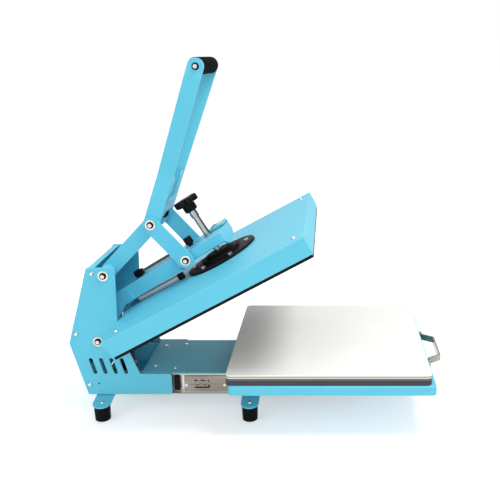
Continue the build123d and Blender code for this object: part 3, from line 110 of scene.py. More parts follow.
class Bench:
    """The node tree of one material, with one method that adds any node."""

    FLAT_DOT: ClassVar[float] = 0.995
    EDGE_DOT: ClassVar[float] = 0.86

    def __init__(self, name: str) -> None:
        """Start a material with a Principled shader.

        Args:
            name: name of the material.
        """
        self.material = bpy.data.materials.new(name)
        self.material.use_nodes = True
        self.tree = self.material.node_tree
        self.shader = self.tree.nodes["Principled BSDF"]
        self.output = self.tree.nodes["Material Output"]

    def node(self, kind: str, settings: dict | None = None, **sockets: object) -> bpy.types.Node:
        """Add a node, set its settings and then its sockets.

        Args:
            kind: type name of the node.
            settings: properties that are set first.
            sockets: values or wires by socket name, with spaces as underscores, or in0, in1 by place.

        Returns:
            The new node.
        """
        made = self.tree.nodes.new(kind)
        for key, value in (settings or {}).items():
            setattr(made, key, value)
        for key, value in sockets.items():
            by_place = key[:2] == "in" and key[2:].isdigit()
            self.feed(made.inputs[int(key[2:]) if by_place else key.replace("_", " ")], value)
        return made

    def feed(self, place: bpy.types.NodeSocket, value: object) -> None:
        """Link a wire to a socket, or set the socket's own value.

        Args:
            place: the socket.
            value: a wire or a constant.
        """
        if isinstance(value, Wire):
            self.tree.links.new(value.end, place)
        elif isinstance(value, tuple) and len(value) == 3 and len(place.default_value) == 4:
            place.default_value = (*value, 1.0)
        else:
            place.default_value = value

    def math(self, operation: str, *values: "Wire | float") -> Wire:
        """Return the result of a Math node.

        Args:
            operation: the node's operation.
            values: its inputs.

        Returns:
            The output wire.
        """
        inputs = {f"in{i}": v for i, v in enumerate(values)}
        made = self.node("ShaderNodeMath", {"operation": operation}, **inputs)
        return Wire(self, made.outputs[0])

    def place(self, grain: Grain = Grain.EVEN) -> Wire:
        """Return Object coordinates, stretched along the grain.

        Args:
            grain: direction of the marks.

        Returns:
            The vector wire.
        """
        spot = Wire(self, self.node("ShaderNodeTexCoord").outputs["Object"])
        return Wire(self, self.node("ShaderNodeMapping", Vector=spot, Scale=grain.value).outputs[0])

    def noise(self, place: Wire, scale: float, detail: float = 2.0, roughness: float = 0.5) -> Wire:
        """Return a noise value.

        Args:
            place: where it is read.
            scale: spots per metre.
            detail: octaves.
            roughness: strength of the octaves.

        Returns:
            The value wire.
        """
        made = self.node("ShaderNodeTexNoise", Vector=place, Scale=scale, Detail=detail, Roughness=roughness)
        return Wire(self, made.outputs[0])

    def blend(self, share: "Wire | float", first: "Wire | Colour", second: "Wire | Colour") -> Wire:
        """Return a colour between two colours.

        Args:
            share: 0 for the first colour, 1 for the second.
            first: first colour.
            second: second colour.

        Returns:
            The colour wire.
        """
        made = self.node("ShaderNodeMix", {"data_type": "RGBA"}, in0=share, in6=first, in7=second)
        return Wire(self, made.outputs[2])

    def ramp(self, value: Wire, low: float, high: float) -> Wire:
        """Return a wire that climbs from 0 at low to 1 at high.

        Args:
            value: the wire that is read.
            low: value that gives 0.
            high: value that gives 1.

        Returns:
            The value wire.
        """
        made = self.node("ShaderNodeMapRange", {"clamp": True}, Value=value, in1=low, in2=high, in3=0.0, in4=1.0)
        return Wire(self, made.outputs[0])

    def bump(self, height: Wire, strength: float, distance: float, under: Wire | None = None) -> Wire:
        """Return a normal bent by a height.

        Args:
            height: height wire.
            strength: how much it counts.
            distance: height in metres of a full step.
            under: normal that is bent, or none for the surface's own.

        Returns:
            The normal wire.
        """
        sockets: dict[str, object] = {"Height": height, "Strength": strength, "Distance": distance}
        if under is not None:
            sockets["Normal"] = under
        return Wire(self, self.node("ShaderNodeBump", **sockets).outputs[0])

    def soft_edges(self, radius: float) -> Wire:
        """Return a normal that rounds the edges off.

        Args:
            radius: radius in metres.

        Returns:
            The normal wire.
        """
        return Wire(self, self.node("ShaderNodeBevel", {"samples": 4}, Radius=radius).outputs[0])

    def edge_share(self, radius: float) -> Wire:
        """Return a wire that is 0 on flat faces and near 1 on edges.

        Args:
            radius: reach of the edge in metres.

        Returns:
            The value wire.
        """
        turned = self.soft_edges(radius)
        plain = Wire(self, self.node("ShaderNodeNewGeometry").outputs["Normal"])
        dot = self.node("ShaderNodeVectorMath", {"operation": "DOT_PRODUCT"}, in0=turned, in1=plain)
        return self.ramp(Wire(self, dot.outputs["Value"]), self.FLAT_DOT, self.EDGE_DOT)

    def shade(self, **sockets: object) -> None:
        """Feed sockets of the Principled shader by name, with spaces as underscores."""
        for key, value in sockets.items():
            self.feed(self.shader.inputs[key.replace("_", " ")], value)


@dataclass(frozen=True)
class Finish:
    """A surface: two close colours in soft clouds, a range of roughness and a fine grain."""

    name: str
    colour: Colour
    second: Colour
    roughness: tuple[float, float] = (0.35, 0.45)
    metallic: float = 0.0
    cloud_scale: float = 14.0
    grain: Grain = Grain.EVEN
    grain_scale: float = 900.0
    grain_height: float = 0.00002
    grain_strength: float = 0.2
    edge_radius: float = 0.0006
    specular: float = 0.5
    _made: ClassVar[dict[str, bpy.types.Material]] = {}

    def material(self) -> bpy.types.Material:
        """Return the material, made the first time it is asked for."""
        if self.name not in self._made:
            bench = Bench(self.name)
            self.build(bench)
            self._made[self.name] = bench.material
        return self._made[self.name]

    def build(self, bench: Bench) -> None:
        """Lay the nodes of this finish.

        Args:
            bench: the material's tree.
        """
        place = bench.place(self.grain)
        cloud = bench.ramp(bench.noise(bench.place(), self.cloud_scale, 3.0), 0.35, 0.65)
        fine = bench.noise(place, self.grain_scale, 2.0)
        low, high = self.roughness
        colour = self.tint(bench, bench.blend(cloud, self.colour, self.second), fine)
        under = bench.soft_edges(self.edge_radius) if self.edge_radius else None
        bench.shade(
            Base_Color=colour,
            Metallic=self.metallic,
            Roughness=(low + (high - low) * (cloud * 0.5 + fine * 0.5)).clipped() if high != low else low,
            Specular_IOR_Level=self.specular,
            Normal=bench.bump(self.relief(bench, fine), self.grain_strength, self.grain_height, under),
        )
        self.top_coat(bench)

    def tint(self, bench: Bench, colour: Wire, fine: Wire) -> Wire:
        """Return the colour with this finish's own marks on it."""
        return colour

    def relief(self, bench: Bench, fine: Wire) -> Wire:
        """Return the height that bends the normal."""
        return fine

    def top_coat(self, bench: Bench) -> None:
        """Set the constants of a coat, where there is one."""


@dataclass(frozen=True)
class PowderCoat(Finish):
    """Gloss powder coat with a faint orange peel and a painted highlight that lightens the edges."""

    # painted highlight: the pale colour blended onto every edge, standing in for the light the edges catch
    thin_edge: Colour = (0.36, 0.78, 0.88)
    edge_reach: float = 0.0013
    edge_highlight_strength: float = 0.8
    peel_scale: float = 260.0

    def tint(self, bench: Bench, colour: Wire, fine: Wire) -> Wire:
        """Return the paint colour, lightened along each edge by a painted highlight."""
        return bench.blend(bench.edge_share(self.edge_reach) * self.edge_highlight_strength, colour, self.thin_edge)

    def relief(self, bench: Bench, fine: Wire) -> Wire:
        """Return the slow waves of the orange peel under the fine grain."""
        peel = bench.noise(bench.place(), self.peel_scale, 1.0)
        return fine * 0.3 + peel * 0.7

    def top_coat(self, bench: Bench) -> None:
        """Give the paint its clear gloss."""
        bench.shade(Coat_Weight=0.05, Coat_Roughness=0.3)


@dataclass(frozen=True)
class WornMetal(Finish):
    """Bare or plated metal with drawn marks."""

    marks: Colour = (0.2, 0.2, 0.2)
    mark_share: float = 0.25

    def tint(self, bench: Bench, colour: Wire, fine: Wire) -> Wire:
        """Return the metal colour with streaks along the grain."""
        streak = bench.ramp(bench.noise(bench.place(self.grain), self.grain_scale * 0.35, 3.0), 0.45, 0.75)
        return bench.blend(streak * self.mark_share, colour, self.marks)


@dataclass(frozen=True)
class Speckled(Finish):
    """A dull surface with small specks, as on moulded rubber, felt or a dark coating."""

    specks: Colour = (0.1, 0.1, 0.1)
    speck_scale: float = 1500.0
    speck_share: float = 0.35

    def tint(self, bench: Bench, colour: Wire, fine: Wire) -> Wire:
        """Return the colour with specks scattered on it."""
        spots = bench.ramp(bench.noise(bench.place(), self.speck_scale, 1.0), 0.58, 0.72)
        return bench.blend(spots * self.speck_share, colour, self.specks)


@dataclass(frozen=True)
class BandedWithPaintedShade(Speckled):
    """A slab whose side shows bands of colour, each between two heights in metres, used for painted shade and a
    painted shadow line.
    """

    bands_and_painted_shade: tuple[tuple[float, float, Colour], ...] = ()
    softness: float = 0.0002

    def tint(self, bench: Bench, colour: Wire, fine: Wire) -> Wire:
        """Return the colour with each band laid in between its heights, painted shade and painted shadow among them.
        """
        skin = super().tint(bench, colour, fine)
        height = Wire(bench, bench.node("ShaderNodeSeparateXYZ", in0=bench.place()).outputs[2])
        for low, high, band_colour in self.bands_and_painted_shade:
            above = bench.ramp(height, low - self.softness, low + self.softness)
            under = 1.0 - bench.ramp(height, high - self.softness, high + self.softness)
            skin = bench.blend(above * under, skin, band_colour)
        return skin


@dataclass(frozen=True)
class Tinted(Finish):
    """Dark see-through plastic over a display."""

    def top_coat(self, bench: Bench) -> None:
        """Set the clear front."""
        bench.shade(Coat_Weight=0.6, Coat_Roughness=0.05)


TURQUOISE = PowderCoat(
    "turquoise_powder_coat", (0.125, 0.575, 0.760), (0.132, 0.595, 0.778), (0.42, 0.50), specular=0.25
)
DARK_COATING = Speckled(
    "dark_non_stick_coating", (0.010, 0.011, 0.013), (0.015, 0.016, 0.018), (0.28, 0.40), specks=(0.05, 0.05, 0.055),
    specular=0.45,
)
# painted shadow: the black band from 0.1195 to 0.1215 m darkens the slab's top edge under the pad; below it, from
# 0.1180 to 0.1190 m, is a grey stripe
SLAB_COATING = BandedWithPaintedShade(
    "dark_grey_slab_coating", (0.048, 0.054, 0.060), (0.058, 0.064, 0.070), (0.5, 0.62), specks=(0.12, 0.13, 0.14),
    specular=0.2, bands_and_painted_shade=((0.1180, 0.1190, (0.22, 0.22, 0.22)), (0.1195, 0.1215, (0.012, 0.012, 0.012))),
)
CAST_ALLOY = WornMetal("cast_alloy", (0.56, 0.57, 0.59), (0.50, 0.51, 0.53), (0.32, 0.5), 1.0, marks=(0.3, 0.3, 0.32))
ZINC_PLATE = WornMetal(
    "zinc_plate", (0.74, 0.72, 0.68), (0.66, 0.64, 0.60), (0.22, 0.36), 1.0,
    marks=(0.35, 0.33, 0.30), edge_radius=0.0004,
)
# darker than the outer members' steel, with dark streaks along X
SLIDE_STEEL = WornMetal(
    "oiled_slide_steel", (0.36, 0.32, 0.28), (0.27, 0.24, 0.21), (0.28, 0.44), 1.0,
    grain=Grain.ALONG_X, marks=(0.10, 0.085, 0.07), mark_share=0.5, edge_radius=0.0003,
)
SLIDE_LIP_STEEL = WornMetal(
    "pale_slide_steel", (0.60, 0.57, 0.52), (0.52, 0.49, 0.45), (0.25, 0.4), 1.0,
    grain=Grain.ALONG_X, marks=(0.2, 0.18, 0.16), mark_share=0.4, edge_radius=0.0003,
)
POLISHED_STEEL = WornMetal(
    "polished_steel", (0.86, 0.87, 0.88), (0.80, 0.81, 0.82), (0.07, 0.14), 1.0,
    marks=(0.5, 0.5, 0.5), mark_share=0.15, grain_strength=0.05,
)
BLACK_PLASTIC = Speckled(
    "black_grained_plastic", (0.005, 0.005, 0.0055), (0.007, 0.007, 0.0075), (0.25, 0.38),
    specks=(0.016, 0.016, 0.016), grain_scale=1400.0, grain_strength=0.3, specular=0.09,
)
DISC_COATING = Speckled(
    "matt_black_coating", (0.006, 0.006, 0.0065), (0.009, 0.009, 0.0095), (0.45, 0.6), specks=(0.03, 0.03, 0.03),
    specular=0.08,
)
PULL_CHROME = WornMetal(
    "dull_chrome", (0.40, 0.38, 0.34), (0.30, 0.285, 0.25), (0.14, 0.28), 1.0,
    marks=(0.12, 0.11, 0.09), mark_share=0.4,
)
SPINDLE_STEEL = WornMetal(
    "turned_steel", (0.50, 0.51, 0.52), (0.40, 0.41, 0.42), (0.10, 0.2), 1.0,
    marks=(0.14, 0.14, 0.15), mark_share=0.4, grain_strength=0.05,
)
GRIP_FOAM = Speckled(
    "black_grip_foam", (0.0045, 0.0045, 0.005), (0.006, 0.006, 0.0065), (0.7, 0.85), specks=(0.014, 0.014, 0.015),
    grain_scale=1100.0, grain_strength=0.5, edge_radius=0.001, specular=0.01,
)
BLACK_RUBBER = Speckled(
    "black_moulded_rubber", (0.005, 0.005, 0.0055), (0.008, 0.008, 0.0085), (0.42, 0.6), specks=(0.02, 0.02, 0.02),
    grain_strength=0.35, edge_radius=0.001, specular=0.04,
)
# painted shade: the grey-green band between 0.1223 and 0.1260 m darkens the pad's side where it turns from the light
PAD_SILICONE = BandedWithPaintedShade(
    "white_sponge_silicone", (0.90, 0.905, 0.875), (0.93, 0.935, 0.905), (0.62, 0.78), specks=(0.84, 0.845, 0.82),
    cloud_scale=9.0, grain_strength=0.3, edge_radius=0.0, bands_and_painted_shade=((0.1223, 0.1260, (0.42, 0.43, 0.34)),),
)
FELT = Speckled(
    "fibre_felt", (0.62, 0.58, 0.48), (0.70, 0.66, 0.56), (0.85, 0.95), specks=(0.8, 0.77, 0.68),
    grain_scale=1800.0, grain_height=0.0006, grain_strength=0.6, edge_radius=0.0,
)
GREY_HOSE = Speckled(
    "grey_ribbed_hose", (0.07, 0.085, 0.09), (0.10, 0.115, 0.12), (0.3, 0.42),
    specks=(0.2, 0.22, 0.24), speck_share=0.2,
)
SILVER_HOSE = WornMetal(
    "silver_grey_sleeve", (0.50, 0.51, 0.56), (0.44, 0.45, 0.50), (0.35, 0.5), 0.2, marks=(0.3, 0.3, 0.34)
)
WINDOW = Tinted("tinted_window", (0.020, 0.006, 0.006), (0.026, 0.008, 0.008), (0.08, 0.14))
BUTTON_GREY = Speckled(
    "grey_button_caps", (0.24, 0.25, 0.27), (0.28, 0.29, 0.31), (0.4, 0.52), specks=(0.34, 0.35, 0.37)
)
BOARD_GREEN = Speckled(
    "green_solder_mask", (0.016, 0.12, 0.045), (0.022, 0.15, 0.06), (0.25, 0.4), specks=(0.35, 0.28, 0.08)
)

NODE_FINISHES: dict[Finish, tuple[str, ...]] = {
    TURQUOISE: (
        "arm_beam", "arm_front_box", "arm_rear_brackets", "base_channel", "base_cover_plate", "drawer_tray",
        "foot_brackets", "handle_plates", "heat_cover", "lever_bar", "link_plates", "rear_cover",
        "side_plate_left", "side_plate_right", "drawer_brackets", "control_panel",
    ),
    DARK_COATING: ("gas_spring_cylinder", "heater_plate"),
    DISC_COATING: ("hub_disc", "thrust_hub"),
    SLAB_COATING: ("lower_platen",),
    CAST_ALLOY: ("heating_element",),
    ZINC_PLATE: (
        "drawer_screws", "elbow_shaft", "frame_screws", "gas_spring_anchor", "handle_bolts",
        "link_bolts", "pivot_bolts", "pivot_shafts", "platen_bolts", "spindle_nut", "ball_retainers",
    ),
    SLIDE_STEEL: ("slide_inner_members",),
    SLIDE_LIP_STEEL: ("slide_outer_members",),
    POLISHED_STEEL: ("gas_spring_rod",),
    SPINDLE_STEEL: ("pressure_spindle",),
    PULL_CHROME: ("pull_handle",),
    BLACK_PLASTIC: (
        "arm_glands", "inlet_socket", "platen_glands", "power_rocker", "pressure_knob", "power_relay",
        "slide_stops", "switch_housing", "terminal_block", "arm_stop", "rim_gasket",
    ),
    BLACK_RUBBER: ("rubber_feet",),
    GRIP_FOAM: ("handle_grip",),
    PAD_SILICONE: ("silicone_pad",),
    FELT: ("insulation_blanket",),
    GREY_HOSE: ("arm_conduit",),
    SILVER_HOSE: ("platen_conduit",),
    WINDOW: ("display_window",),
    BUTTON_GREY: ("button_down", "button_mode", "button_up"),
    BOARD_GREEN: ("control_board",),
}


def dress_nodes() -> None:
    """Give each carried-over node the finish that its real piece has."""
    for finish, names in NODE_FINISHES.items():
        material = finish.material()
        for name in names:
            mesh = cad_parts[name].data
            mesh.materials.clear()
            mesh.materials.append(material)
        log.info("dressed %d nodes in %s", len(names), finish.name)


def mesh_of(name: str, shell: bmesh.types.BMesh) -> bpy.types.Mesh:
    """Turn a bmesh into a mesh and free it.

    Args:
        name: name of the mesh.
        shell: the bmesh, which is freed.

    Returns:
        The mesh.
    """
    mesh = bpy.data.meshes.new(name)
    shell.to_mesh(mesh)
    shell.free()
    return mesh


def linked(name: str, data: bpy.types.ID) -> bpy.types.Object:
    """Make an object of a mesh, lamp or camera and link it to the scene.

    Args:
        name: name of the object.
        data: what it shows.

    Returns:
        The object, at the origin.
    """
    made = bpy.data.objects.new(name, data)
    bpy.context.scene.collection.objects.link(made)
    return made


def finished(name: str, shell: bmesh.types.BMesh, finish: Finish, smooth_under: float = 0.6) -> bpy.types.Object:
    """Turn a bmesh into a named object with its finish.

    Args:
        name: name of the piece.
        shell: the mesh, which is freed.
        finish: its finish.
        smooth_under: edges flatter than this angle in radians are shaded smooth.

    Returns:
        The object, at the origin.
    """
    bmesh.ops.remove_doubles(shell, verts=shell.verts, dist=WELD)
    bmesh.ops.recalc_face_normals(shell, faces=shell.faces)
    mesh = mesh_of(name, shell)
    mesh.shade_smooth()
    mesh.set_sharp_from_angle(angle=smooth_under)
    mesh.materials.append(finish.material())
    return linked(name, mesh)


def turned(
    shell: bmesh.types.BMesh, outline: Sequence[tuple[float, float]], axis_at: Vector, axis: Vector, steps: int = 48
) -> None:
    """Spin an outline of (radius, height) pairs about an axis into the shell.

    Args:
        shell: mesh that receives the shape.
        outline: points from one pole to the other.
        axis_at: a point on the axis at height 0.
        axis: direction of the axis.
        steps: faces round the turn.
    """
    axis = axis.normalized()
    side = axis.orthogonal().normalized()
    verts = [shell.verts.new(axis_at + side * r + axis * h) for r, h in outline]
    edges = [shell.edges.new(pair) for pair in zip(verts, verts[1:])]
    bmesh.ops.spin(
        shell, geom=verts + edges, cent=axis_at, axis=axis, dvec=(0, 0, 0), angle=2 * math.pi,
        steps=steps, use_merge=True, use_duplicate=False,
    )
    bmesh.ops.remove_doubles(shell, verts=shell.verts, dist=WELD)


@dataclass
class Drawer:
    """The silicone pad on the pull-out bed."""

    corner: float = 0.010
    edge: float = 0.0014

    def pad(self) -> None:
        """Build the pad as a slab with round corners and a soft rim."""
        low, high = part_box("silicone_pad")
        shell = bmesh.new()
        made = bmesh.ops.create_cube(shell, size=1.0)
        size = high - low
        bmesh.ops.scale(shell, vec=size, verts=made["verts"])
        bmesh.ops.translate(shell, vec=(low + high) / 2, verts=made["verts"])
        upright = [e for e in shell.edges if abs((e.verts[0].co - e.verts[1].co).z) > size.z / 2]
        bmesh.ops.bevel(
            shell, geom=upright, offset=self.corner, segments=8, profile=0.5, affect="EDGES", material=-1
        )
        rim = [e for e in shell.edges if all(abs(v.co.z - high.z) < WELD for v in e.verts)]
        bmesh.ops.bevel(shell, geom=rim, offset=self.edge, segments=4, profile=0.5, affect="EDGES", material=-1)
        piece = finished("silicone_cushion", shell, PAD_SILICONE, 0.7)
        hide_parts("silicone_pad")
        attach(piece, Body.DRAWER.value)
        log.info("pad built")

    def build(self) -> None:
        """Build the drawer's pieces."""
        self.pad()


@dataclass(frozen=True)
class Slope:
    """A tilted face of the machine that pieces are placed on."""

    foot: Point
    tilt: float

    @property
    def along(self) -> Vector:
        """Direction up the slope."""
        turn = math.radians(self.tilt)
        return Vector((math.cos(turn), 0.0, math.sin(turn)))

    @property
    def normal(self) -> Vector:
        """Direction out of the face."""
        turn = math.radians(self.tilt)
        return Vector((-math.sin(turn), 0.0, math.cos(turn)))

    def at(self, u: float, y: float, height: float) -> Vector:
        """Return a point of the face.

        Args:
            u: distance up the slope from its foot.
            y: distance across.
            height: distance out of the face.

        Returns:
            The point in the frame.
        """
        return Vector(self.foot) + self.along * u + Vector((0.0, y, 0.0)) + self.normal * height


ARM_TOP_RISE = 0.0117
ARM_MIDLINE = Slope((-0.136, 0.0, 0.3098), ARM_TILT)
ARM_FACE = Slope(tuple(ARM_MIDLINE.at(0.0, 0.0, ARM_TOP_RISE)), ARM_TILT)
PLATEN_FACE = Slope((-0.0853728, 0.0, 0.2950394), PLATEN_TILT)
HUB_U = 0.012
SCREW_LINE = Slope(tuple(PLATEN_FACE.at(HUB_U, 0.0, 0.0)), ARM_TILT)


@dataclass
class Hose:
    """A ribbed hose on a straight run between two fittings."""

    name: str
    node: str
    body: Body
    finish: Finish
    slot: str
    start: Vector
    end: Vector
    radius: float = 0.0045
    pitch: float = 0.0026
    depth: float = 0.0009
    steps: int = 32

    def build(self) -> None:
        """Spin the hose's wavy outline about its run."""
        length = (self.end - self.start).length
        ribs = round(length / self.pitch)
        pitch = length / ribs
        outline = [(0.0, 0.0)]
        for rib in range(ribs):
            for share, drop in ((0.0, 1.0), (0.2, 0.35), (0.4, 0.0), (0.6, 0.0), (0.8, 0.35)):
                outline.append((self.radius - self.depth * drop, (rib + share) * pitch))
        outline.append((self.radius - self.depth, length))
        outline.append((0.0, length))
        shell = bmesh.new()
        turned(shell, outline, self.start, self.end - self.start, self.steps)
        piece = finished(self.name, shell, self.finish, 1.2)
        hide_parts(self.node)
        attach(piece, self.body.value)
        log.info("%s built with %d ribs", self.name, ribs)


@dataclass(frozen=True)
class BoltPlace:
    """The washer face of one pair of button-head bolts, at both sides of the machine."""

    body: Body
    x: float
    z: float
    washer_y: float


@dataclass
class BoltShadowRings:
    """Dark rings on the bolt heads, painted shadow of their hex sockets."""

    places: tuple[BoltPlace, ...] = (
        BoltPlace(Body.BASE, -0.3098, 0.1533, 0.0918),
        BoltPlace(Body.BASE, -0.2895, 0.2869, 0.0918),
        BoltPlace(Body.LEVER, *ELBOW, 0.0666),
        BoltPlace(Body.LEVER, -0.0958, 0.6734, 0.0868),
        BoltPlace(Body.LINKS, -0.1360, 0.3098, 0.0663),
    )
    band: tuple[tuple[float, float], ...] = (
        (0.0038, 0.0044), (0.0038, 0.0047), (0.0050, 0.0047), (0.0054, 0.0043), (0.0067, 0.0003), (0.0060, 0.0003),
    )

    def build(self) -> None:
        """Build one mesh of painted shadow rings for each body."""
        for body in (Body.BASE, Body.LEVER, Body.LINKS):
            shell = bmesh.new()
            for place in (spot for spot in self.places if spot.body is body):
                for side in (-1.0, 1.0):
                    self.trim(shell, place, side)
            piece = finished(f"bolt_bands_{body.value}", shell, BLACK_PLASTIC)
            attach(piece, body.value)
            log.info("bolt bands of %s built", body.value)

    def trim(self, shell: bmesh.types.BMesh, place: BoltPlace, side: float) -> None:
        """Add the painted shadow ring of one bolt.

        Args:
            shell: mesh that receives it.
            place: the bolt's place.
            side: -1 for the near side, 1 for the far side.
        """
        outward = Vector((0.0, side, 0.0))
        washer = Vector((place.x, side * place.washer_y, place.z))
        turned(shell, (*self.band, self.band[0]), washer, outward, 40)


@dataclass
class Knob:
    """The lobed pressure knob with its hub."""

    lobes: int = 6
    radius: float = 0.025
    scallop: float = 0.0055
    thickness: float = 0.013
    height: float = 0.131
    hub_radius: float = 0.0135
    hub_length: float = 0.015
    points: int = 96
    edge_round: float = 0.0028
    chamfer: float = 0.002
    sunk: float = 0.001

    def build(self) -> None:
        """Raise the scalloped disc on its short hub."""
        line = SCREW_LINE
        across = Vector((0.0, 1.0, 0.0))
        low = self.height - self.thickness / 2
        shell = bmesh.new()
        rim = []
        for index in range(self.points):
            turn = 2 * math.pi * index / self.points
            valley = 0.5 - 0.5 * math.cos(self.lobes * turn)
            reach = self.radius - self.scallop * valley**2
            spoke = line.along * reach * math.cos(turn) + across * reach * math.sin(turn)
            rim.append(shell.verts.new(line.at(0.0, 0.0, low) + spoke))
        face = shell.faces.new(rim)
        raised = bmesh.ops.extrude_face_region(shell, geom=[face])
        top = [item for item in raised["geom"] if isinstance(item, bmesh.types.BMVert)]
        bmesh.ops.translate(shell, verts=top, vec=line.normal * self.thickness)
        rims = [edge for edge in shell.edges if not (edge.verts[0] in rim) ^ (edge.verts[1] in rim)]
        bmesh.ops.bevel(
            shell, geom=rims, offset=self.edge_round, segments=4, profile=0.5, affect="EDGES", material=-1
        )
        hub_top = self.hub_length + self.sunk
        hub = [(0.0, 0.0), (self.hub_radius - self.chamfer, 0.0), (self.hub_radius, self.chamfer)]
        hub += [(self.hub_radius, hub_top), (0.0, hub_top)]
        turned(shell, hub, line.at(0.0, 0.0, low - self.hub_length), line.normal)
        piece = finished("knob_scalloped", shell, BLACK_PLASTIC, 0.8)
        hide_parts("pressure_knob")
        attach(piece, Body.SCREW.value)
        log.info("knob built")


@dataclass
class Feet:
    """The four tapered rubber feet with moulded rings, cut to the slope of their ears."""

    places_x: tuple[float, float] = (-0.305, -0.015)
    foot_y: float = 0.11474
    bottom_radius: float = 0.0148
    top_radius: float = 0.016
    ear_bend: tuple[float, float] = (0.088, 0.0387)
    ear_slope: float = 8.0
    ear_thickness: float = 0.003
    rings: int = 4
    ring_depth: float = 0.0008
    ring_half: float = 0.0014
    first_ring: float = 0.18
    ring_step: float = 0.2
    chamfer: float = 0.0012

    def outline(self) -> list[tuple[float, float]]:
        """Return the foot's side from its bottom up, past the ear, with its grooves."""
        top = self.ear_bend[1]
        low_radius = self.bottom_radius
        spread = self.top_radius - low_radius
        points = [(0.0, 0.0), (low_radius - self.chamfer, 0.0), (low_radius, self.chamfer)]
        for ring in range(self.rings):
            middle = top * (self.first_ring + self.ring_step * ring)
            wide = low_radius + spread * middle / top
            groove = (wide - self.ring_depth, middle)
            points += [(wide, middle - self.ring_half), groove, (wide, middle + self.ring_half)]
        points += [(self.top_radius, top), (0.0, top)]
        return points

    def build(self) -> None:
        """Spin the feet and cut each under its ear."""
        shell = bmesh.new()
        slope = math.radians(self.ear_slope)
        for side in (-1.0, 1.0):
            for place_x in self.places_x:
                foot = bmesh.new()
                turned(foot, self.outline(), Vector((place_x, side * self.foot_y, 0.0)), Vector((0, 0, 1)), 48)
                normal = Vector((0.0, side * math.sin(slope), math.cos(slope)))
                cut = Vector((place_x, side * self.ear_bend[0], self.ear_bend[1])) - normal * self.ear_thickness
                everything = [*foot.verts, *foot.edges, *foot.faces]
                sliced = bmesh.ops.bisect_plane(
                    foot, geom=everything, plane_co=cut, plane_no=normal, clear_outer=True
                )
                edges = [item for item in sliced["geom_cut"] if isinstance(item, bmesh.types.BMEdge)]
                bmesh.ops.contextual_create(foot, geom=edges)
                single = mesh_of("foot_part", foot)
                shell.from_mesh(single)
                bpy.data.meshes.remove(single)
        piece = finished("feet_ringed", shell, BLACK_RUBBER, 0.5)
        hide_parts("rubber_feet")
        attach(piece, Body.BASE.value)
        log.info("feet built")


@dataclass
class SmallTrim:
    """The thin black strip under the control panel and the bushes inside the elbow."""

    panel_u: float = 0.067
    panel_y: float = 0.034
    panel_size: tuple[float, float] = (0.0352, 0.0412)
    strip_height: float = 0.0012
    elbow: tuple[float, float] = ELBOW
    bush_y: tuple[float, float] = (0.0455, 0.0517)
    bush_radii: tuple[float, float] = (0.0062, 0.0105)
    bush_chamfer: float = 0.001
    strip_corner: float = 0.0034

    def lay_black_strip(self) -> None:
        """Lay a thin black strip between the box and the panel's lid."""
        shell = bmesh.new()
        made = bmesh.ops.create_cube(shell, size=1.0)
        bmesh.ops.scale(shell, verts=made["verts"], vec=(*self.panel_size, self.strip_height))
        upright = [e for e in shell.edges if abs((e.verts[0].co - e.verts[1].co).z) > self.strip_height / 2]
        bmesh.ops.bevel(
            shell, geom=upright, offset=self.strip_corner, segments=5, profile=0.5, affect="EDGES", material=-1
        )
        turn = Matrix.Rotation(-math.radians(ARM_FACE.tilt), 3, "Y")
        bmesh.ops.rotate(shell, verts=shell.verts, matrix=turn)
        middle = ARM_FACE.at(self.panel_u, self.panel_y, self.strip_height / 2)
        bmesh.ops.translate(shell, verts=shell.verts, vec=middle)
        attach(finished("panel_seal", shell, BLACK_RUBBER), Body.ARM.value)

    def bushes(self) -> None:
        """Put a black bush on the elbow's shaft inside each lever bar."""
        shell = bmesh.new()
        inner, outer = self.bush_radii
        start, end = self.bush_y
        width = end - start
        cut = self.bush_chamfer
        outline = [(inner, 0.0), (outer - cut, 0.0), (outer, cut), (outer, width - cut), (outer - cut, width)]
        outline += [(inner, width), (inner, 0.0)]
        for side in (-1.0, 1.0):
            place = Vector((self.elbow[0], side * start, self.elbow[1]))
            turned(shell, outline, place, Vector((0.0, side, 0.0)), 40)
        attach(finished("elbow_bushes", shell, BLACK_PLASTIC), Body.LEVER.value)

    def build(self) -> None:
        """Build both."""
        self.lay_black_strip()
        self.bushes()
        log.info("small trim built")


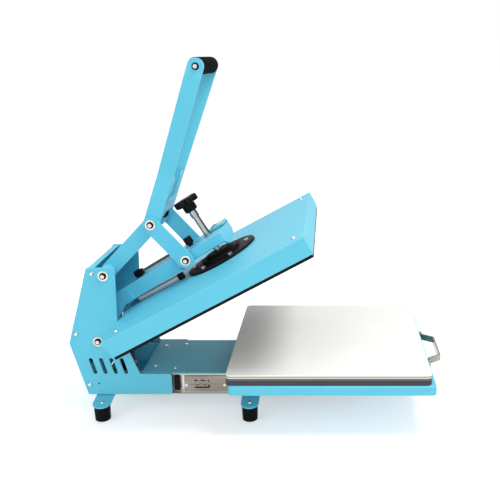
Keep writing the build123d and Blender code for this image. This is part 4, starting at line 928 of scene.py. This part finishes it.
@dataclass
class Studio:
    """Floor, lamps, world and camera."""

    eye: Point = (0.1385, -1.3885, 0.6935)
    tilt_down: float = 15.3
    focal_pixels: float = 715.0
    frame_pixels: float = 500.0
    centre_x_pixels: float = 328.0
    lamps: tuple[tuple[str, Point, Point, float, float], ...] = (
        ("key_lamp", (0.5, -3.0, 1.5), (-0.05, 0.0, 0.25), 1.2, 18.0),
        ("fill_lamp", (-2.2, -1.8, 1.6), (-0.1, 0.0, 0.25), 1.2, 7.0),
        ("top_lamp", (0.8, -0.4, 2.3), (0.1, 0.0, 0.1), 0.8, 25.0),
    )
    floor_size: float = 30.0
    floor_drop: float = 0.0004
    floor_glow: float = 0.44
    room_light: float = 0.68
    card_places: tuple[tuple[str, float], ...] = (("left_card", -0.85), ("right_card", 0.95))
    card_size: float = 0.6
    card_height: float = 0.61
    sensor_width: float = 36.0

    def floor(self) -> None:
        """Lay a pale floor that keeps the soft shadow."""
        shell = bmesh.new()
        bmesh.ops.create_grid(shell, x_segments=1, y_segments=1, size=self.floor_size)
        bmesh.ops.translate(shell, vec=(0.0, 0.0, -self.floor_drop), verts=shell.verts)
        mesh = mesh_of("studio_floor", shell)
        bench = Bench("studio_white")
        seen = self.seen_rays(bench)
        bench.shade(Base_Color=(0.86, 0.86, 0.86), Roughness=0.9, Specular_IOR_Level=0.1)
        glow = bench.node("ShaderNodeEmission", Color=(1.0, 1.0, 1.0), Strength=self.floor_glow)
        plain_floor = Wire(bench, bench.shader.outputs[0])
        both = bench.node("ShaderNodeAddShader", in0=plain_floor, in1=Wire(bench, glow.outputs[0]))
        mixed = bench.node("ShaderNodeMixShader", in0=seen, in1=plain_floor, in2=Wire(bench, both.outputs[0]))
        bench.feed(bench.output.inputs["Surface"], Wire(bench, mixed.outputs[0]))
        mesh.materials.append(bench.material)
        floor = linked("studio_floor", mesh)

    @staticmethod
    def seen_rays(bench: Bench) -> Wire:
        """Return 1 for rays from the camera, a reflection or a clear surface."""
        path = bench.node("ShaderNodeLightPath")
        names = ("Is Camera Ray", "Is Glossy Ray", "Is Transmission Ray")
        rays = [Wire(bench, path.outputs[name]) for name in names]
        return (rays[0] + rays[1] + rays[2]).clipped()

    def cards(self) -> None:
        """Stand dark cards at both sides for metal to mirror, hidden from the camera, with no shadow."""
        upright = Matrix.Rotation(math.pi / 2, 3, "Y")
        for name, place_x in self.card_places:
            shell = bmesh.new()
            made = bmesh.ops.create_grid(shell, x_segments=1, y_segments=1, size=self.card_size)
            bmesh.ops.rotate(shell, verts=made["verts"], cent=(0, 0, 0), matrix=upright)
            bmesh.ops.translate(shell, verts=made["verts"], vec=(place_x, 0.0, self.card_height))
            mesh = mesh_of(name, shell)
            bench = Bench(name)
            bench.shade(Base_Color=(0.02, 0.02, 0.02), Roughness=0.9)
            mesh.materials.append(bench.material)
            card = linked(name, mesh)
            card.visible_camera = False
            card.visible_diffuse = False
            card.visible_shadow = False

    def world(self) -> None:
        """Light the room evenly and show white behind the machine."""
        world = bpy.data.worlds.new("studio_room")
        bpy.context.scene.world = world
        world.use_nodes = True
        tree = world.node_tree
        path = tree.nodes.new("ShaderNodeLightPath")
        seen = path.outputs["Is Camera Ray"]
        for ray in ("Is Glossy Ray", "Is Transmission Ray"):
            either = tree.nodes.new("ShaderNodeMath")
            either.operation = "MAXIMUM"
            tree.links.new(seen, either.inputs[0])
            tree.links.new(path.outputs[ray], either.inputs[1])
            seen = either.outputs[0]
        room = tree.nodes["Background"]
        room.inputs["Color"].default_value = (1.0, 1.0, 1.0, 1.0)
        room.inputs["Strength"].default_value = self.room_light
        shown = tree.nodes.new("ShaderNodeBackground")
        shown.inputs["Color"].default_value = (1.0, 1.0, 1.0, 1.0)
        shown.inputs["Strength"].default_value = 1.0
        mixed = tree.nodes.new("ShaderNodeMixShader")
        tree.links.new(seen, mixed.inputs[0])
        tree.links.new(room.outputs[0], mixed.inputs[1])
        tree.links.new(shown.outputs[0], mixed.inputs[2])
        tree.links.new(mixed.outputs[0], tree.nodes["World Output"].inputs["Surface"])

    def light(self) -> None:
        """Hang the soft lamps and aim each one."""
        for name, place, target, size, power in self.lamps:
            lamp = bpy.data.lights.new(name, "AREA")
            lamp.shape = "DISK"
            lamp.size = size
            lamp.energy = power
            holder = linked(name, lamp)
            holder.location = place
            holder.rotation_euler = (Vector(target) - Vector(place)).to_track_quat("-Z", "Y").to_euler()

    def camera(self) -> None:
        """Set the camera at the photograph's place and angle."""
        lens = bpy.data.cameras.new("photo_camera")
        lens.sensor_width = self.sensor_width
        lens.lens = self.sensor_width * self.focal_pixels / self.frame_pixels
        lens.shift_x = -(self.centre_x_pixels - self.frame_pixels / 2) / self.frame_pixels
        lens.clip_start = 0.05
        camera = linked("photo_camera", lens)
        camera.location = self.eye
        camera.rotation_euler = (math.radians(90.0 - self.tilt_down), 0.0, 0.0)
        bpy.context.scene.camera = camera

    def build(self) -> None:
        """Set the stage."""
        bpy.context.scene.view_settings.view_transform = "Standard"
        self.floor()
        self.cards()
        self.world()
        self.light()
        self.camera()
        log.info("studio set")


HOSES = (
    Hose(
        "arm_hose", "arm_conduit", Body.ARM, GREY_HOSE, "grey_conduit",
        ARM_FACE.at(-0.103, -0.008, 0.0075), ARM_FACE.at(-0.032, -0.008, 0.0075), 0.003, 0.0022, 0.0006,
    ),
    Hose(
        "platen_hose", "platen_conduit", Body.PLATEN, SILVER_HOSE, "grey_conduit",
        PLATEN_FACE.at(-0.175, -0.019, 0.0063), PLATEN_FACE.at(-0.082, -0.019, 0.0063), 0.006, 0.0012, 0.0002,
    ),
)


def plain(box: Iterable[Iterable[float]]) -> list[list[float]]:
    """Return a box as plain lists of numbers."""
    return [[float(v) for v in corner] for corner in box]


def main() -> None:
    """Build the machine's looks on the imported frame."""
    logging.basicConfig(level=logging.INFO, format="%(name)s: %(message)s")
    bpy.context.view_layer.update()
    dress_nodes()
    Drawer().build()
    for part in (*HOSES, BoltShadowRings(), Knob(), Feet(), SmallTrim()):
        part.build()
    Studio().build()


if __name__ == "__main__":
    main()
